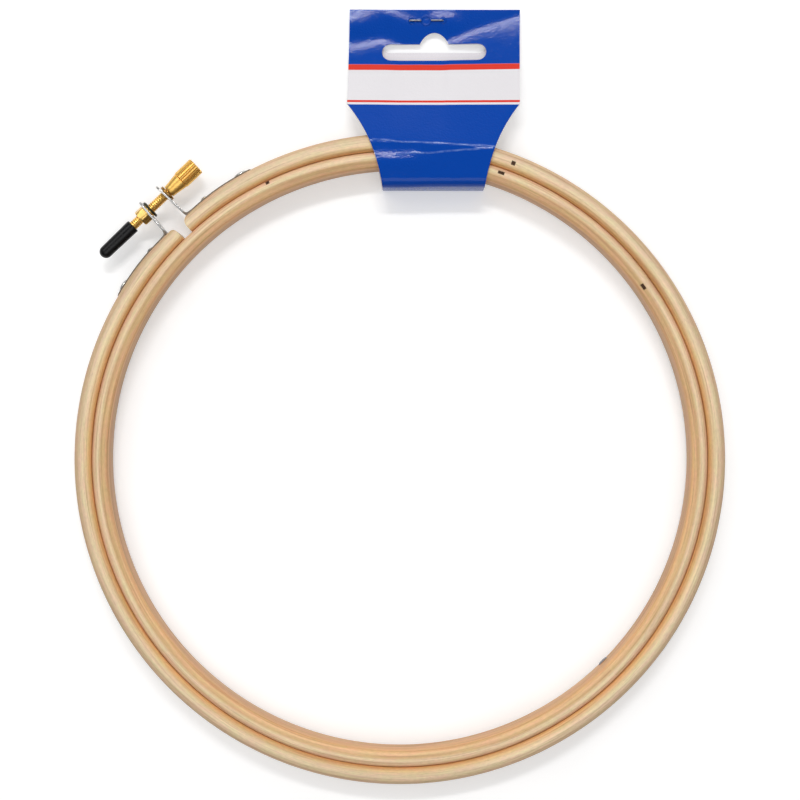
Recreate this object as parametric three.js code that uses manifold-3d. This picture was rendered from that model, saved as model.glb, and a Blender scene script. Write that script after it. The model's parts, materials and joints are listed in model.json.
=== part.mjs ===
// Wooden embroidery hoop with a screw clamp and a folded hang card, lying flat.
// Millimetres, +Z up. The hoops' common axis is parallel to Z.
import * as THREE from 'three';
import * as BufferGeometryUtils from 'three/addons/utils/BufferGeometryUtils.js';
import Module from 'manifold-3d';

// Hoops
const INNER_HOOP_DIAMETER = 177.8;
const INNER_HOOP_WALL = 4.5;
const OUTER_HOOP_WALL = 5;
const HOOP_DEPTH = 10;
const HOOP_FIT = 0.3;
const EDGE_ROUND = 1.6;
const EDGE_LEAST_FLAT = 0.4;
const EDGE_STEPS = 3;
const RIM_STEPS = 96;

// Split and flex of the outer hoop
const SPLIT_ANGLE = 133.65;
const SPLIT_GAP = 2.7;
const SPLIT_CORNER = 2.2;
const FLEX_GAP = 0.3;

// Steel brackets on the outer hoop
const STRIP_THICKNESS = 0.6;
const STRIP_WIDTH = 8;
const STRIP_SEAT_GAP = 0.2;
const STRIP_BEND = 1;
const STRIP_CORNER = 2.4;
const LUG_OPENING = 6.2;
const LUG_END_MARGIN = 2.9;
const LEG_LENGTH = 21.7;
const BRACKET_ARC_STEPS = 4;

// Rivets: a small one near each bracket's bend, a wide low one near the end of its leg
const NEAR_RIVET_FROM_BEND = 5.7;
const NEAR_RIVET_HEAD = 2.6;
const NEAR_RIVET_HEIGHT = 0.6;
const FAR_RIVET_FROM_LEG_END = 2.7;
const FAR_RIVET_HEAD = 4.6;
const FAR_RIVET_HEIGHT = 0.8;
const RIVET_SHANK = 1.4;
const RIVET_DEPTH = 3.2;
const RIVET_CLEARANCE = 0.2;
const RIVET_SIDES = 12;
const DOME_STEPS = 4;

// Thumb screw, washer, nut and cap, in order along the screw's axis
const SCREW_STANDOFF = 8.6;
const RUNNING_GAP = 0.2;
const WASHER_RIM = 0.75;
const WASHER_THICKNESS = 0.8;
const THREAD_DIAMETER = 2.8;
const THREAD_CLEARANCE = 0.25;
const NECK_SEAT = 0.2;
const TAPER_LENGTH = 4.8;
const HEAD_DIAMETER = 5.2;
const HEAD_LENGTH = 6.3;
const HEAD_CHAMFER = 0.4;
const KNURL_COUNT = 24;
const KNURL_DEPTH = 0.2;
const NUT_SEAT = 0.25;
const NUT_LENGTH = 2.7;
const NUT_NECK_WALL = 0.3;
const NUT_COLLAR_LIP = 0.75;
const NUT_COLLAR_THICKNESS = 0.7;
const NUT_TURN = -8;
const BARE_THREAD = 2.9;
const CAP_LENGTH = 12.8;
const CAP_WALL = 0.45;
const CAP_TAPER = 0.15;
const CAP_BORE_DEPTH = 7.5;
const CAP_FIT = 0.15;
const ROUND_STEPS = 20;
const CAP_NOSE_STEPS = 5;

// Wire staple in the inner hoop's inner wall
const LAP_STAPLE_ANGLE = -45;
const LAP_STAPLE_CROWN = 3;
const LAP_STAPLE_LEG = 2.6;
const LAP_STAPLE_HEIGHT = 3;

// Folded hang card
const CARD_THICKNESS = 0.4;
const CARD_CENTRE_X = 9.75;
const CARD_WIDTH = 50.2;
const CARD_TOP_FROM_RIM = 38;
const CARD_SHOULDER_FROM_RIM = 8.8;
const CARD_FOLD_SLACK = 1.8;
const CARD_FOLD_WIDTH = 29.5;
const CARD_WAIST_WIDTH = 34;
const CARD_WAIST_FROM_RIM = -1.7;
const CARD_BEND = 2.5;
const CARD_BACK_GAP = 0.2;
const CARD_FRONT_GAP = 0.5;
const CARD_CREASE_INSET = 2.7;
const CARD_CREASE_RUN = 9;
const CARD_CREASE_DROP = 1.8;
const CARD_CLOSED_LENGTH = 9;
const CARD_CLOSING_RUN = 14;
const CARD_CLOSING_DROP = 2.6;
const CARD_LAP_GAP = 0.2;
const CARD_HINGE_GAP = 0.3;
const CARD_CURVE_STEPS = 8;

// Hang slot through both panels
const SLOT_WIDTH = 30.7;
const SLOT_HEIGHT = 5.1;
const SLOT_BELOW_TOP = 12.8;
const SLOT_HUMP_WIDTH = 8.5;
const SLOT_HUMP_HEIGHT = 3.4;
const SLOT_HUMP_SIDE = 0.86;
const SLOT_HUMP_RISE = 0.45;
const SLOT_HUMP_CROWN = 0.5;
const BACK_SLOT_SHIFT = 2.8;

// Staple that closes the card, and the wire that both staples are made of
const CARD_STAPLE_WIDTH = 10.4;
const CARD_STAPLE_BELOW_TOP = 3.3;
const CARD_STAPLE_CENTRE = -2;
const STAPLE_WIRE = 0.5;
const STAPLE_CLEARANCE = 0.2;

// How far a cutting shape runs past what it cuts, steps in a drawn curve, the least cosine at a
// strip's corner, and how near two corners are to be one
const CUT_MARGIN = 1;
const CURVE_STEPS = 5;
const MITRE_LIMIT = 0.5;
const SAME_POINT = 1e-5;

// Places worked out from the sizes above
const INNER_HOOP_OUTSIDE = INNER_HOOP_DIAMETER / 2;
const INNER_HOOP_INSIDE = INNER_HOOP_OUTSIDE - INNER_HOOP_WALL;
const OUTER_HOOP_INSIDE = INNER_HOOP_OUTSIDE + HOOP_FIT;
const OUTER_HOOP_OUTSIDE = OUTER_HOOP_INSIDE + OUTER_HOOP_WALL;
const RIM_BACK = CARD_THICKNESS + CARD_BACK_GAP;
const RIM_MIDDLE = RIM_BACK + HOOP_DEPTH / 2;
const RIM_FRONT = RIM_BACK + HOOP_DEPTH;
const SEAT_RADIUS = OUTER_HOOP_OUTSIDE + STRIP_SEAT_GAP;
const STRIP_RADIUS = SEAT_RADIUS + STRIP_THICKNESS;
const LUG_INSIDE = LUG_OPENING / 2;
const LUG_OUTSIDE = LUG_INSIDE + STRIP_THICKNESS;
const SCREW_RADIUS = OUTER_HOOP_OUTSIDE + SCREW_STANDOFF;
const LUG_END = SCREW_RADIUS + LUG_END_MARGIN;
const BEND_X = LUG_OUTSIDE + STRIP_BEND;
const BEND_Y = Math.sqrt((STRIP_RADIUS + STRIP_BEND) ** 2 - BEND_X ** 2);
const LEG_START_ANGLE = Math.atan2(BEND_Y, BEND_X);
const NEAR_RIVET = { along: NEAR_RIVET_FROM_BEND, head: NEAR_RIVET_HEAD, height: NEAR_RIVET_HEIGHT };
const FAR_RIVET = {
  along: LEG_LENGTH - FAR_RIVET_FROM_LEG_END,
  head: FAR_RIVET_HEAD,
  height: FAR_RIVET_HEIGHT,
};
const WASHER_START = LUG_OUTSIDE + RUNNING_GAP;
const SHOULDER_START = WASHER_START + WASHER_THICKNESS + RUNNING_GAP;
const NUT_START = LUG_OUTSIDE + RUNNING_GAP;
const CAP_START = NUT_START + NUT_LENGTH + BARE_THREAD;
const THREAD_END = CAP_START + CAP_BORE_DEPTH - RUNNING_GAP;
const BORE_DIAMETER = THREAD_DIAMETER + 2 * THREAD_CLEARANCE;
const WASHER_DIAMETER = BORE_DIAMETER + 2 * WASHER_RIM;
const NECK_DIAMETER = BORE_DIAMETER + 2 * NECK_SEAT;
const NUT_NECK_DIAMETER = BORE_DIAMETER + 2 * NUT_NECK_WALL;
const NUT_ACROSS_FLATS = NUT_NECK_DIAMETER + 2 * NUT_SEAT;
const NUT_COLLAR_DIAMETER = NUT_NECK_DIAMETER + 2 * NUT_COLLAR_LIP;
const CAP_BORE_DIAMETER = THREAD_DIAMETER + 2 * CAP_FIT;
const CAP_MOUTH_DIAMETER = CAP_BORE_DIAMETER + 2 * CAP_WALL;
const CAP_TIP_DIAMETER = CAP_MOUTH_DIAMETER - 2 * CAP_TAPER;
const CARD_FOLD_CORNER_X = CARD_CENTRE_X + CARD_FOLD_WIDTH / 2;
const CARD_FOLD_INSIDE = Math.sqrt(INNER_HOOP_INSIDE ** 2 - CARD_FOLD_CORNER_X ** 2) - CARD_FOLD_SLACK;
const CARD_FOLD = CARD_FOLD_INSIDE - CARD_THICKNESS;
const CARD_CREASE = OUTER_HOOP_OUTSIDE - CARD_CREASE_INSET;
const CARD_WAIST = OUTER_HOOP_OUTSIDE + CARD_WAIST_FROM_RIM;
const CARD_SHOULDER = OUTER_HOOP_OUTSIDE + CARD_SHOULDER_FROM_RIM;
const CARD_TOP = OUTER_HOOP_OUTSIDE + CARD_TOP_FROM_RIM;
const CARD_FRONT_INSIDE = RIM_FRONT + CARD_FRONT_GAP;
const CARD_STAPLE_Y = CARD_TOP - CARD_STAPLE_BELOW_TOP;
const BACK_RISE = STAPLE_WIRE + STAPLE_CLEARANCE;
const FRONT_CLOSED_HEIGHT = BACK_RISE + CARD_THICKNESS + CARD_LAP_GAP;
const FOOTPRINT_CENTRE = CARD_TOP_FROM_RIM / 2;

const wasm = await Module();
wasm.setup();

const WOOD = new THREE.MeshStandardMaterial({ color: 0xdfc093, roughness: 0.6, metalness: 0 });
const STEEL = new THREE.MeshStandardMaterial({ color: 0xb8b8b4, roughness: 0.3, metalness: 1 });
const BRASS = new THREE.MeshStandardMaterial({ color: 0xcf9f48, roughness: 0.3, metalness: 1 });
const RUBBER = new THREE.MeshStandardMaterial({ color: 0x141416, roughness: 0.35, metalness: 0 });
const CARD = new THREE.MeshStandardMaterial({ color: 0x0248ac, roughness: 0.25, metalness: 0 });

function degrees(angle) {
  return THREE.MathUtils.degToRad(angle);
}

// Angles that divide a quarter turn into even steps, without its two ends.
function quarterTurn(steps) {
  return Array.from({ length: steps - 1 }, (_, i) => Math.PI / 2 * (i + 1) / steps);
}

function arcPoint(x, y, radius, angle) {
  return new THREE.Vector2(x + radius * Math.cos(angle), y + radius * Math.sin(angle));
}

// A closed geometry as a solid that can be joined and cut.
function solid(geometry) {
  const bare = geometry.clone();
  bare.deleteAttribute('normal');
  bare.deleteAttribute('uv');
  const merged = BufferGeometryUtils.mergeVertices(bare, SAME_POINT);
  const vertProperties = new Float32Array(merged.attributes.position.array);
  const triVerts = new Uint32Array(merged.index.array);
  return new wasm.Manifold(new wasm.Mesh({ numProp: 3, vertProperties, triVerts }));
}

function geometryOf(body) {
  const mesh = body.getMesh();
  const geometry = new THREE.BufferGeometry();
  geometry.setAttribute('position', new THREE.BufferAttribute(mesh.vertProperties, 3));
  geometry.setIndex(new THREE.BufferAttribute(mesh.triVerts, 1));
  geometry.computeVertexNormals();
  return geometry;
}

function piece(name, body, material) {
  const mesh = new THREE.Mesh(geometryOf(body), material);
  mesh.name = name;
  return mesh;
}

// An outline in the XY plane made thick along Z, from one height to another.
function prism(shape, bottom, top, curveSegments = CURVE_STEPS) {
  const geometry = new THREE.ExtrudeGeometry(shape, {
    depth: top - bottom,
    bevelEnabled: false,
    curveSegments,
  });
  return geometry.translate(0, 0, bottom);
}

// An outline drawn in the YZ plane, made thick along X.
function sidePrism(shape, left, right) {
  const turn = new THREE.Matrix4().makeBasis(
    new THREE.Vector3(0, 1, 0),
    new THREE.Vector3(0, 0, 1),
    new THREE.Vector3(1, 0, 0),
  );
  return prism(shape, left, right).applyMatrix4(turn);
}

// An outline drawn in the XZ plane, made thick along Y.
function frontPrism(shape, near, far) {
  return prism(shape, -far, -near).rotateX(Math.PI / 2);
}

function rectangle(left, right, bottom, top) {
  const shape = new THREE.Shape();
  shape.moveTo(left, bottom);
  shape.lineTo(right, bottom);
  shape.lineTo(right, top);
  shape.lineTo(left, top);
  return shape;
}

// A strip of even thickness along a line of points: the line is its middle.
function band(points, thickness) {
  const sides = points.map((point, i) => {
    const before = points[Math.max(i - 1, 0)];
    const after = points[Math.min(i + 1, points.length - 1)];
    const into = point.clone().sub(before).normalize();
    const out = after.clone().sub(point).normalize();
    const along = into.clone().add(out).normalize();
    const straight = Math.max(into.lengthSq() > 0 ? along.dot(into) : 1, MITRE_LIMIT);
    const reach = thickness / 2 / straight;
    return new THREE.Vector2(-along.y, along.x).multiplyScalar(reach);
  });
  const left = points.map((point, i) => point.clone().add(sides[i]));
  const right = points.map((point, i) => point.clone().sub(sides[i]));
  return new THREE.Shape([...right, ...left.reverse()]);
}

// A solid turned about the X axis: each point of the profile is [place along X, radius].
function turned(profile, steps = ROUND_STEPS) {
  const points = profile.map(([along, radius]) => new THREE.Vector2(radius, along));
  return new THREE.LatheGeometry(points, steps).rotateZ(-Math.PI / 2);
}

// A rod along the X axis, used for shanks and for the holes that they pass through.
function rod(left, right, diameter, steps = ROUND_STEPS) {
  const radius = diameter / 2;
  return turned([[left, 0], [left, radius], [right, radius], [right, 0]], steps);
}

// Section of a rim: a rectangle with its four edges rounded over, from one radius to another.
function rimSection(inside, outside) {
  const round = Math.min(EDGE_ROUND, (outside - inside - EDGE_LEAST_FLAT) / 2);
  const corners = [
    { radius: outside - round, height: RIM_BACK + round, from: -90 },
    { radius: outside - round, height: RIM_FRONT - round, from: 0 },
    { radius: inside + round, height: RIM_FRONT - round, from: 90 },
    { radius: inside + round, height: RIM_BACK + round, from: 180 },
  ];
  const points = [];
  for (const corner of corners) {
    for (let step = 0; step <= EDGE_STEPS; step += 1) {
      const angle = degrees(corner.from + 90 * step / EDGE_STEPS);
      points.push(arcPoint(corner.radius, corner.height, round, angle));
    }
  }
  points.push(points[0].clone());
  return points;
}

function rim(inside, outside) {
  const geometry = new THREE.LatheGeometry(rimSection(inside, outside), RIM_STEPS);
  return solid(geometry.rotateX(Math.PI / 2));
}

// Half of the plane beside the split's centre line, with the arm's outer end corner rounded off.
function armSide(side) {
  const reach = 2 * OUTER_HOOP_OUTSIDE;
  const end = side * SPLIT_GAP / 2;
  const corner = end + side * SPLIT_CORNER;
  const shape = new THREE.Shape();
  shape.moveTo(side * FLEX_GAP / 2, -reach);
  shape.lineTo(side * reach, -reach);
  shape.lineTo(side * reach, reach);
  shape.lineTo(corner, reach);
  shape.lineTo(corner, OUTER_HOOP_OUTSIDE);
  const last = side > 0 ? Math.PI : 0;
  shape.absarc(corner, OUTER_HOOP_OUTSIDE - SPLIT_CORNER, SPLIT_CORNER, Math.PI / 2, last, side < 0);
  shape.lineTo(end, 0);
  shape.lineTo(side * FLEX_GAP / 2, 0);
  return solid(prism(shape, RIM_BACK - CUT_MARGIN, RIM_FRONT + CUT_MARGIN));
}

// Puts a shape that lies along +X, at height zero, on a bracket's leg, by its distance from the bend.
function onLeg(geometry, side, along) {
  const angle = LEG_START_ANGLE - along / SEAT_RADIUS;
  return geometry.rotateZ(side > 0 ? angle : Math.PI - angle).translate(0, 0, RIM_MIDDLE);
}

function rivetHole(side, rivet) {
  const inner = OUTER_HOOP_OUTSIDE - RIVET_DEPTH - RIVET_CLEARANCE;
  const outer = STRIP_RADIUS + RIVET_CLEARANCE;
  const hole = rod(inner, outer, RIVET_SHANK + 2 * RIVET_CLEARANCE, RIVET_SIDES);
  return solid(onLeg(hole, side, rivet.along));
}

function rivetBody(side, rivet) {
  const seat = STRIP_RADIUS + RIVET_CLEARANCE;
  const shank = RIVET_SHANK / 2;
  const head = rivet.head / 2;
  const dome = quarterTurn(DOME_STEPS).map((angle) => [
    seat + rivet.height * Math.sin(angle),
    head * Math.cos(angle),
  ]);
  const profile = [
    [OUTER_HOOP_OUTSIDE - RIVET_DEPTH, 0],
    [OUTER_HOOP_OUTSIDE - RIVET_DEPTH, shank],
    [seat, shank],
    [seat, head],
    ...dome,
    [seat + rivet.height, 0],
  ];
  return solid(onLeg(turned(profile, RIVET_SIDES), side, rivet.along));
}

function outerArm(side) {
  return rim(OUTER_HOOP_INSIDE, OUTER_HOOP_OUTSIDE)
    .intersect(armSide(side))
    .subtract(rivetHole(side, NEAR_RIVET))
    .subtract(rivetHole(side, FAR_RIVET));
}

// Plan of a bracket beside the split: a lug square to the screw, a bend, and a leg along the rim.
function bracketPlan(side) {
  const legStart = LEG_START_ANGLE;
  const legEnd = legStart - LEG_LENGTH / SEAT_RADIUS;
  const mirror = (angle) => (side > 0 ? angle : Math.PI - angle);
  const shape = new THREE.Shape();
  const arc = (x, y, radius, from, to, clockwise) => {
    shape.absarc(side * x, y, radius, mirror(from), mirror(to), clockwise === side > 0);
  };
  shape.moveTo(side * LUG_INSIDE, LUG_END);
  shape.lineTo(side * LUG_INSIDE, BEND_Y);
  arc(BEND_X, BEND_Y, STRIP_BEND + STRIP_THICKNESS, Math.PI, legStart + Math.PI, false);
  arc(0, 0, SEAT_RADIUS, legStart, legEnd, true);
  arc(0, 0, STRIP_RADIUS, legEnd, legStart, false);
  arc(BEND_X, BEND_Y, STRIP_BEND, legStart + Math.PI, Math.PI, true);
  shape.lineTo(side * LUG_OUTSIDE, LUG_END);
  return shape;
}

// The strip's own outline, seen along the screw: its lug end has two round corners.
function lugOutline() {
  const half = STRIP_WIDTH / 2;
  const shape = new THREE.Shape();
  shape.moveTo(0, RIM_MIDDLE - half);
  shape.lineTo(LUG_END - STRIP_CORNER, RIM_MIDDLE - half);
  shape.absarc(LUG_END - STRIP_CORNER, RIM_MIDDLE - half + STRIP_CORNER, STRIP_CORNER, -Math.PI / 2, 0);
  shape.absarc(LUG_END - STRIP_CORNER, RIM_MIDDLE + half - STRIP_CORNER, STRIP_CORNER, 0, Math.PI / 2);
  shape.lineTo(0, RIM_MIDDLE + half);
  return shape;
}

function onScrewAxis(geometry) {
  return geometry.translate(0, SCREW_RADIUS, RIM_MIDDLE);
}

function bracketBody(side, holeDiameter) {
  const low = RIM_MIDDLE - STRIP_WIDTH;
  const high = RIM_MIDDLE + STRIP_WIDTH;
  const strip = solid(prism(bracketPlan(side), low, high, BRACKET_ARC_STEPS));
  const outline = solid(sidePrism(lugOutline(), -SEAT_RADIUS, SEAT_RADIUS));
  const hole = solid(onScrewAxis(rod(-LUG_OUTSIDE - CUT_MARGIN, LUG_OUTSIDE + CUT_MARGIN, holeDiameter)));
  return strip
    .intersect(outline)
    .subtract(hole)
    .subtract(rivetHole(side, NEAR_RIVET))
    .subtract(rivetHole(side, FAR_RIVET));
}

// Outline of the knurled head, seen along its axis: straight teeth all round.
function knurl() {
  const points = [];
  for (let step = 0; step < 2 * KNURL_COUNT; step += 1) {
    const radius = HEAD_DIAMETER / 2 - (step % 2) * KNURL_DEPTH;
    const angle = Math.PI * step / KNURL_COUNT;
    points.push(new THREE.Vector2(radius * Math.cos(angle), radius * Math.sin(angle)));
  }
  return new THREE.Shape(points);
}

function thumbScrew() {
  const thread = THREAD_DIAMETER / 2;
  const head = HEAD_DIAMETER / 2;
  const headStart = SHOULDER_START + TAPER_LENGTH;
  const headEnd = headStart + HEAD_LENGTH;
  const body = solid(onScrewAxis(turned([
    [-THREAD_END, 0],
    [-THREAD_END, thread],
    [SHOULDER_START, thread],
    [SHOULDER_START, NECK_DIAMETER / 2],
    [headStart, head],
    [headEnd - HEAD_CHAMFER, head],
    [headEnd, head - HEAD_CHAMFER],
    [headEnd, 0],
  ], 2 * KNURL_COUNT)));
  const grip = solid(onScrewAxis(sidePrism(knurl(), headStart, headEnd)));
  const behindGrip = solid(onScrewAxis(rod(-THREAD_END - CUT_MARGIN, headStart, 2 * HEAD_DIAMETER)));
  return body.intersect(grip.add(behindGrip));
}

function screwWasher() {
  const inner = BORE_DIAMETER / 2;
  const outer = WASHER_DIAMETER / 2;
  const end = WASHER_START + WASHER_THICKNESS;
  return solid(onScrewAxis(turned([
    [WASHER_START, inner],
    [WASHER_START, outer],
    [end, outer],
    [end, inner],
    [WASHER_START, inner],
  ])));
}

// A hexagon outside the left lug, a neck through the lug and a collar swaged over inside it.
function clampNut() {
  const collarStart = -LUG_INSIDE + RUNNING_GAP;
  const collarEnd = collarStart + NUT_COLLAR_THICKNESS;
  const corner = NUT_ACROSS_FLATS / Math.sqrt(3);
  const hexagon = new THREE.Shape();
  for (let side = 0; side < 6; side += 1) {
    const angle = degrees(60 * side + NUT_TURN);
    hexagon.lineTo(corner * Math.cos(angle), corner * Math.sin(angle));
  }
  const body = solid(onScrewAxis(sidePrism(hexagon, -NUT_START - NUT_LENGTH, -NUT_START)));
  const neck = solid(onScrewAxis(rod(-NUT_START - NUT_LENGTH / 2, collarEnd, NUT_NECK_DIAMETER)));
  const collar = solid(onScrewAxis(rod(collarStart, collarEnd, NUT_COLLAR_DIAMETER)));
  const boreStart = -NUT_START - NUT_LENGTH - CUT_MARGIN;
  const bore = solid(onScrewAxis(rod(boreStart, collarEnd + CUT_MARGIN, BORE_DIAMETER)));
  return body.add(neck).add(collar).subtract(bore);
}

function tipCap() {
  const mouth = CAP_MOUTH_DIAMETER / 2;
  const tip = CAP_TIP_DIAMETER / 2;
  const bore = CAP_BORE_DIAMETER / 2;
  const bottom = -CAP_START - CAP_BORE_DEPTH;
  const end = -CAP_START - CAP_LENGTH;
  const nose = quarterTurn(CAP_NOSE_STEPS).map((angle) => [
    end + tip - tip * Math.cos(angle),
    tip * Math.sin(angle),
  ]);
  return solid(onScrewAxis(turned([
    [end, 0],
    ...nose,
    [end + tip, tip],
    [-CAP_START, mouth],
    [-CAP_START, bore],
    [bottom, bore],
    [bottom, 0],
  ])));
}

function innerHoop() {
  return rim(INNER_HOOP_INSIDE, INNER_HOOP_OUTSIDE).subtract(lapStapleBody(STAPLE_CLEARANCE));
}

// A flat wire staple pressed into the inner wall: its crown lies along the wall, its legs in the wood.
function lapStapleBody(clearance) {
  const half = LAP_STAPLE_CROWN / 2;
  const wire = STAPLE_WIRE / 2 + clearance;
  const wall = Math.sqrt(INNER_HOOP_INSIDE ** 2 - half ** 2);
  const crown = wall + STAPLE_WIRE / 2;
  const legEnd = wall + LAP_STAPLE_LEG + clearance;
  const points = [
    new THREE.Vector2(legEnd, -half),
    new THREE.Vector2(crown, -half),
    new THREE.Vector2(crown, half),
    new THREE.Vector2(legEnd, half),
  ];
  const low = RIM_BACK + LAP_STAPLE_HEIGHT - wire;
  return solid(prism(band(points, 2 * wire), low, low + 2 * wire).rotateZ(degrees(LAP_STAPLE_ANGLE)));
}

// Outline of a card panel in plan: square shoulders, then drawn in to the fold by a hollow curve.
function panelPlan() {
  const half = CARD_WIDTH / 2;
  const fold = CARD_FOLD_WIDTH / 2;
  const waist = CARD_WAIST_WIDTH / 2;
  const below = CARD_FOLD - CARD_BEND;
  const shape = new THREE.Shape();
  shape.moveTo(half, CARD_TOP);
  shape.lineTo(-half, CARD_TOP);
  shape.lineTo(-half, CARD_SHOULDER);
  shape.quadraticCurveTo(-waist, CARD_WAIST, -fold, CARD_FOLD);
  shape.lineTo(-fold, below);
  shape.lineTo(fold, below);
  shape.lineTo(fold, CARD_FOLD);
  shape.quadraticCurveTo(waist, CARD_WAIST, half, CARD_SHOULDER);
  return shape;
}

// The hang slot: long with round ends, and a hump above its middle for a single peg.
function slotPlan(shift) {
  const half = SLOT_WIDTH / 2;
  const end = SLOT_HEIGHT / 2;
  const hump = SLOT_HUMP_WIDTH / 2;
  const side = hump * SLOT_HUMP_SIDE;
  const crown = hump * SLOT_HUMP_CROWN;
  const middle = CARD_TOP - SLOT_BELOW_TOP + shift;
  const top = middle + end;
  const rise = top + SLOT_HUMP_HEIGHT * SLOT_HUMP_RISE;
  const apex = top + SLOT_HUMP_HEIGHT;
  const shape = new THREE.Shape();
  shape.moveTo(half - end, top);
  shape.lineTo(hump, top);
  shape.bezierCurveTo(side, rise, crown, apex, 0, apex);
  shape.bezierCurveTo(-crown, apex, -side, rise, -hump, top);
  shape.lineTo(-half + end, top);
  shape.absarc(-half + end, middle, end, Math.PI / 2, 3 * Math.PI / 2, false);
  shape.lineTo(half - end, middle - end);
  shape.absarc(half - end, middle, end, -Math.PI / 2, Math.PI / 2, false);
  return shape;
}

// Middle line of the back panel, from the hinge at the fold to the top edge, in the YZ plane.
function backLine() {
  const wall = CARD_FOLD + CARD_THICKNESS / 2;
  const floor = CARD_THICKNESS / 2;
  const bend = CARD_BEND - CARD_THICKNESS / 2;
  const points = [new THREE.Vector2(wall, RIM_MIDDLE - CARD_HINGE_GAP / 2)];
  for (let step = 0; step <= CARD_CURVE_STEPS; step += 1) {
    const angle = Math.PI + Math.PI / 2 * step / CARD_CURVE_STEPS;
    points.push(arcPoint(wall + bend, floor + bend, bend, angle));
  }
  points.push(new THREE.Vector2(OUTER_HOOP_OUTSIDE + STRIP_THICKNESS, floor));
  points.push(new THREE.Vector2(CARD_TOP - CARD_CLOSED_LENGTH, floor + BACK_RISE));
  points.push(new THREE.Vector2(CARD_TOP, floor + BACK_RISE));
  return points;
}

// Middle line of the front panel: up from the hinge, over the rims, and down to lie on the back panel.
function frontLine() {
  const wall = CARD_FOLD + CARD_THICKNESS / 2;
  const height = CARD_FRONT_INSIDE + CARD_THICKNESS / 2;
  const bend = CARD_BEND - CARD_THICKNESS / 2;
  const closed = FRONT_CLOSED_HEIGHT + CARD_THICKNESS / 2;
  const points = [new THREE.Vector2(wall, RIM_MIDDLE + CARD_HINGE_GAP / 2)];
  for (let step = 0; step <= CARD_CURVE_STEPS; step += 1) {
    const angle = Math.PI - Math.PI / 2 * step / CARD_CURVE_STEPS;
    points.push(arcPoint(wall + bend, height - bend, bend, angle));
  }
  const slope = new THREE.CubicBezierCurve(
    new THREE.Vector2(CARD_CREASE, height),
    new THREE.Vector2(CARD_CREASE + CARD_CREASE_RUN, height - CARD_CREASE_DROP),
    new THREE.Vector2(CARD_TOP - CARD_CLOSED_LENGTH - CARD_CLOSING_RUN, closed + CARD_CLOSING_DROP),
    new THREE.Vector2(CARD_TOP - CARD_CLOSED_LENGTH, closed),
  );
  points.push(...slope.getPoints(CARD_CURVE_STEPS));
  points.push(new THREE.Vector2(CARD_TOP, closed));
  return points;
}

function panelBody(line, slotShift) {
  const half = CARD_WIDTH / 2 + CUT_MARGIN;
  const low = -CUT_MARGIN;
  const high = CARD_FRONT_INSIDE + CARD_THICKNESS + CUT_MARGIN;
  const sheet = solid(sidePrism(band(line, CARD_THICKNESS), -half, half));
  const plan = solid(prism(panelPlan(), low, high));
  const slot = solid(prism(slotPlan(slotShift), low, high));
  const hole = STAPLE_WIRE / 2 + STAPLE_CLEARANCE;
  let body = sheet.intersect(plan).subtract(slot);
  for (const leg of stapleLegs()) {
    const opening = rectangle(leg - hole, leg + hole, CARD_STAPLE_Y - hole, CARD_STAPLE_Y + hole);
    body = body.subtract(solid(prism(opening, low, high)));
  }
  return body;
}

function stapleLegs() {
  const half = (CARD_STAPLE_WIDTH - STAPLE_WIRE) / 2;
  return [CARD_STAPLE_CENTRE - half, CARD_STAPLE_CENTRE + half];
}

// The staple's crown lies behind the back panel, and its legs come up through both panels.
function cardStaple() {
  const [left, right] = stapleLegs();
  const crown = STAPLE_WIRE / 2;
  const tip = FRONT_CLOSED_HEIGHT + CARD_THICKNESS + STAPLE_WIRE;
  const points = [
    new THREE.Vector2(left, tip),
    new THREE.Vector2(left, crown),
    new THREE.Vector2(right, crown),
    new THREE.Vector2(right, tip),
  ];
  const near = CARD_STAPLE_Y - STAPLE_WIRE / 2;
  return solid(frontPrism(band(points, STAPLE_WIRE), near, near + STAPLE_WIRE));
}

function bracketSet(name, side, holeDiameter) {
  const set = new THREE.Group();
  set.add(piece(`${name}_bracket`, bracketBody(side, holeDiameter), STEEL));
  set.add(piece(`${name}_bracket_near_rivet`, rivetBody(side, NEAR_RIVET), STEEL));
  set.add(piece(`${name}_bracket_far_rivet`, rivetBody(side, FAR_RIVET), STEEL));
  return set;
}

// The outer hoop and its clamp, drawn with the split at +Y and the screw along X, then turned.
function clampedHoop() {
  const group = new THREE.Group();
  group.add(piece('outer_hoop_right_arm', outerArm(1), WOOD));
  group.add(piece('outer_hoop_left_arm', outerArm(-1), WOOD));
  group.add(bracketSet('right', 1, BORE_DIAMETER));
  group.add(bracketSet('left', -1, NUT_NECK_DIAMETER + 2 * RUNNING_GAP));
  group.add(piece('thumb_screw', thumbScrew(), BRASS));
  group.add(piece('screw_washer', screwWasher(), BRASS));
  group.add(piece('clamp_nut', clampNut(), BRASS));
  group.add(piece('tip_cap', tipCap(), RUBBER));
  group.rotation.z = degrees(SPLIT_ANGLE - 90);
  return group;
}

function innerRing() {
  const group = new THREE.Group();
  group.add(piece('inner_hoop', innerHoop(), WOOD));
  group.add(piece('inner_hoop_staple', lapStapleBody(0), STEEL));
  return group;
}

function hangCard() {
  const group = new THREE.Group();
  group.add(piece('tag_back_panel', panelBody(backLine(), BACK_SLOT_SHIFT), CARD));
  group.add(piece('tag_front_panel', panelBody(frontLine(), 0), CARD));
  group.add(piece('tag_staple', cardStaple(), STEEL));
  group.position.x = CARD_CENTRE_X;
  return group;
}

// The origin is under the middle of the whole outline, on the surface that the hoop lies on.
const embroideryHoop = new THREE.Group();
embroideryHoop.add(clampedHoop(), innerRing(), hangCard());
embroideryHoop.position.y = -FOOTPRINT_CENTRE;

export default embroideryHoop;
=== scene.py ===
"""Wooden embroidery hoop with a screw clamp and a folded hang card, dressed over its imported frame."""

import json
import logging
import math
from collections.abc import Callable, Collection, Iterable, Sequence
from dataclasses import dataclass, field
from enum import Enum
from typing import Any

import bmesh
import bpy
from mathutils import Matrix, Vector


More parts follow.
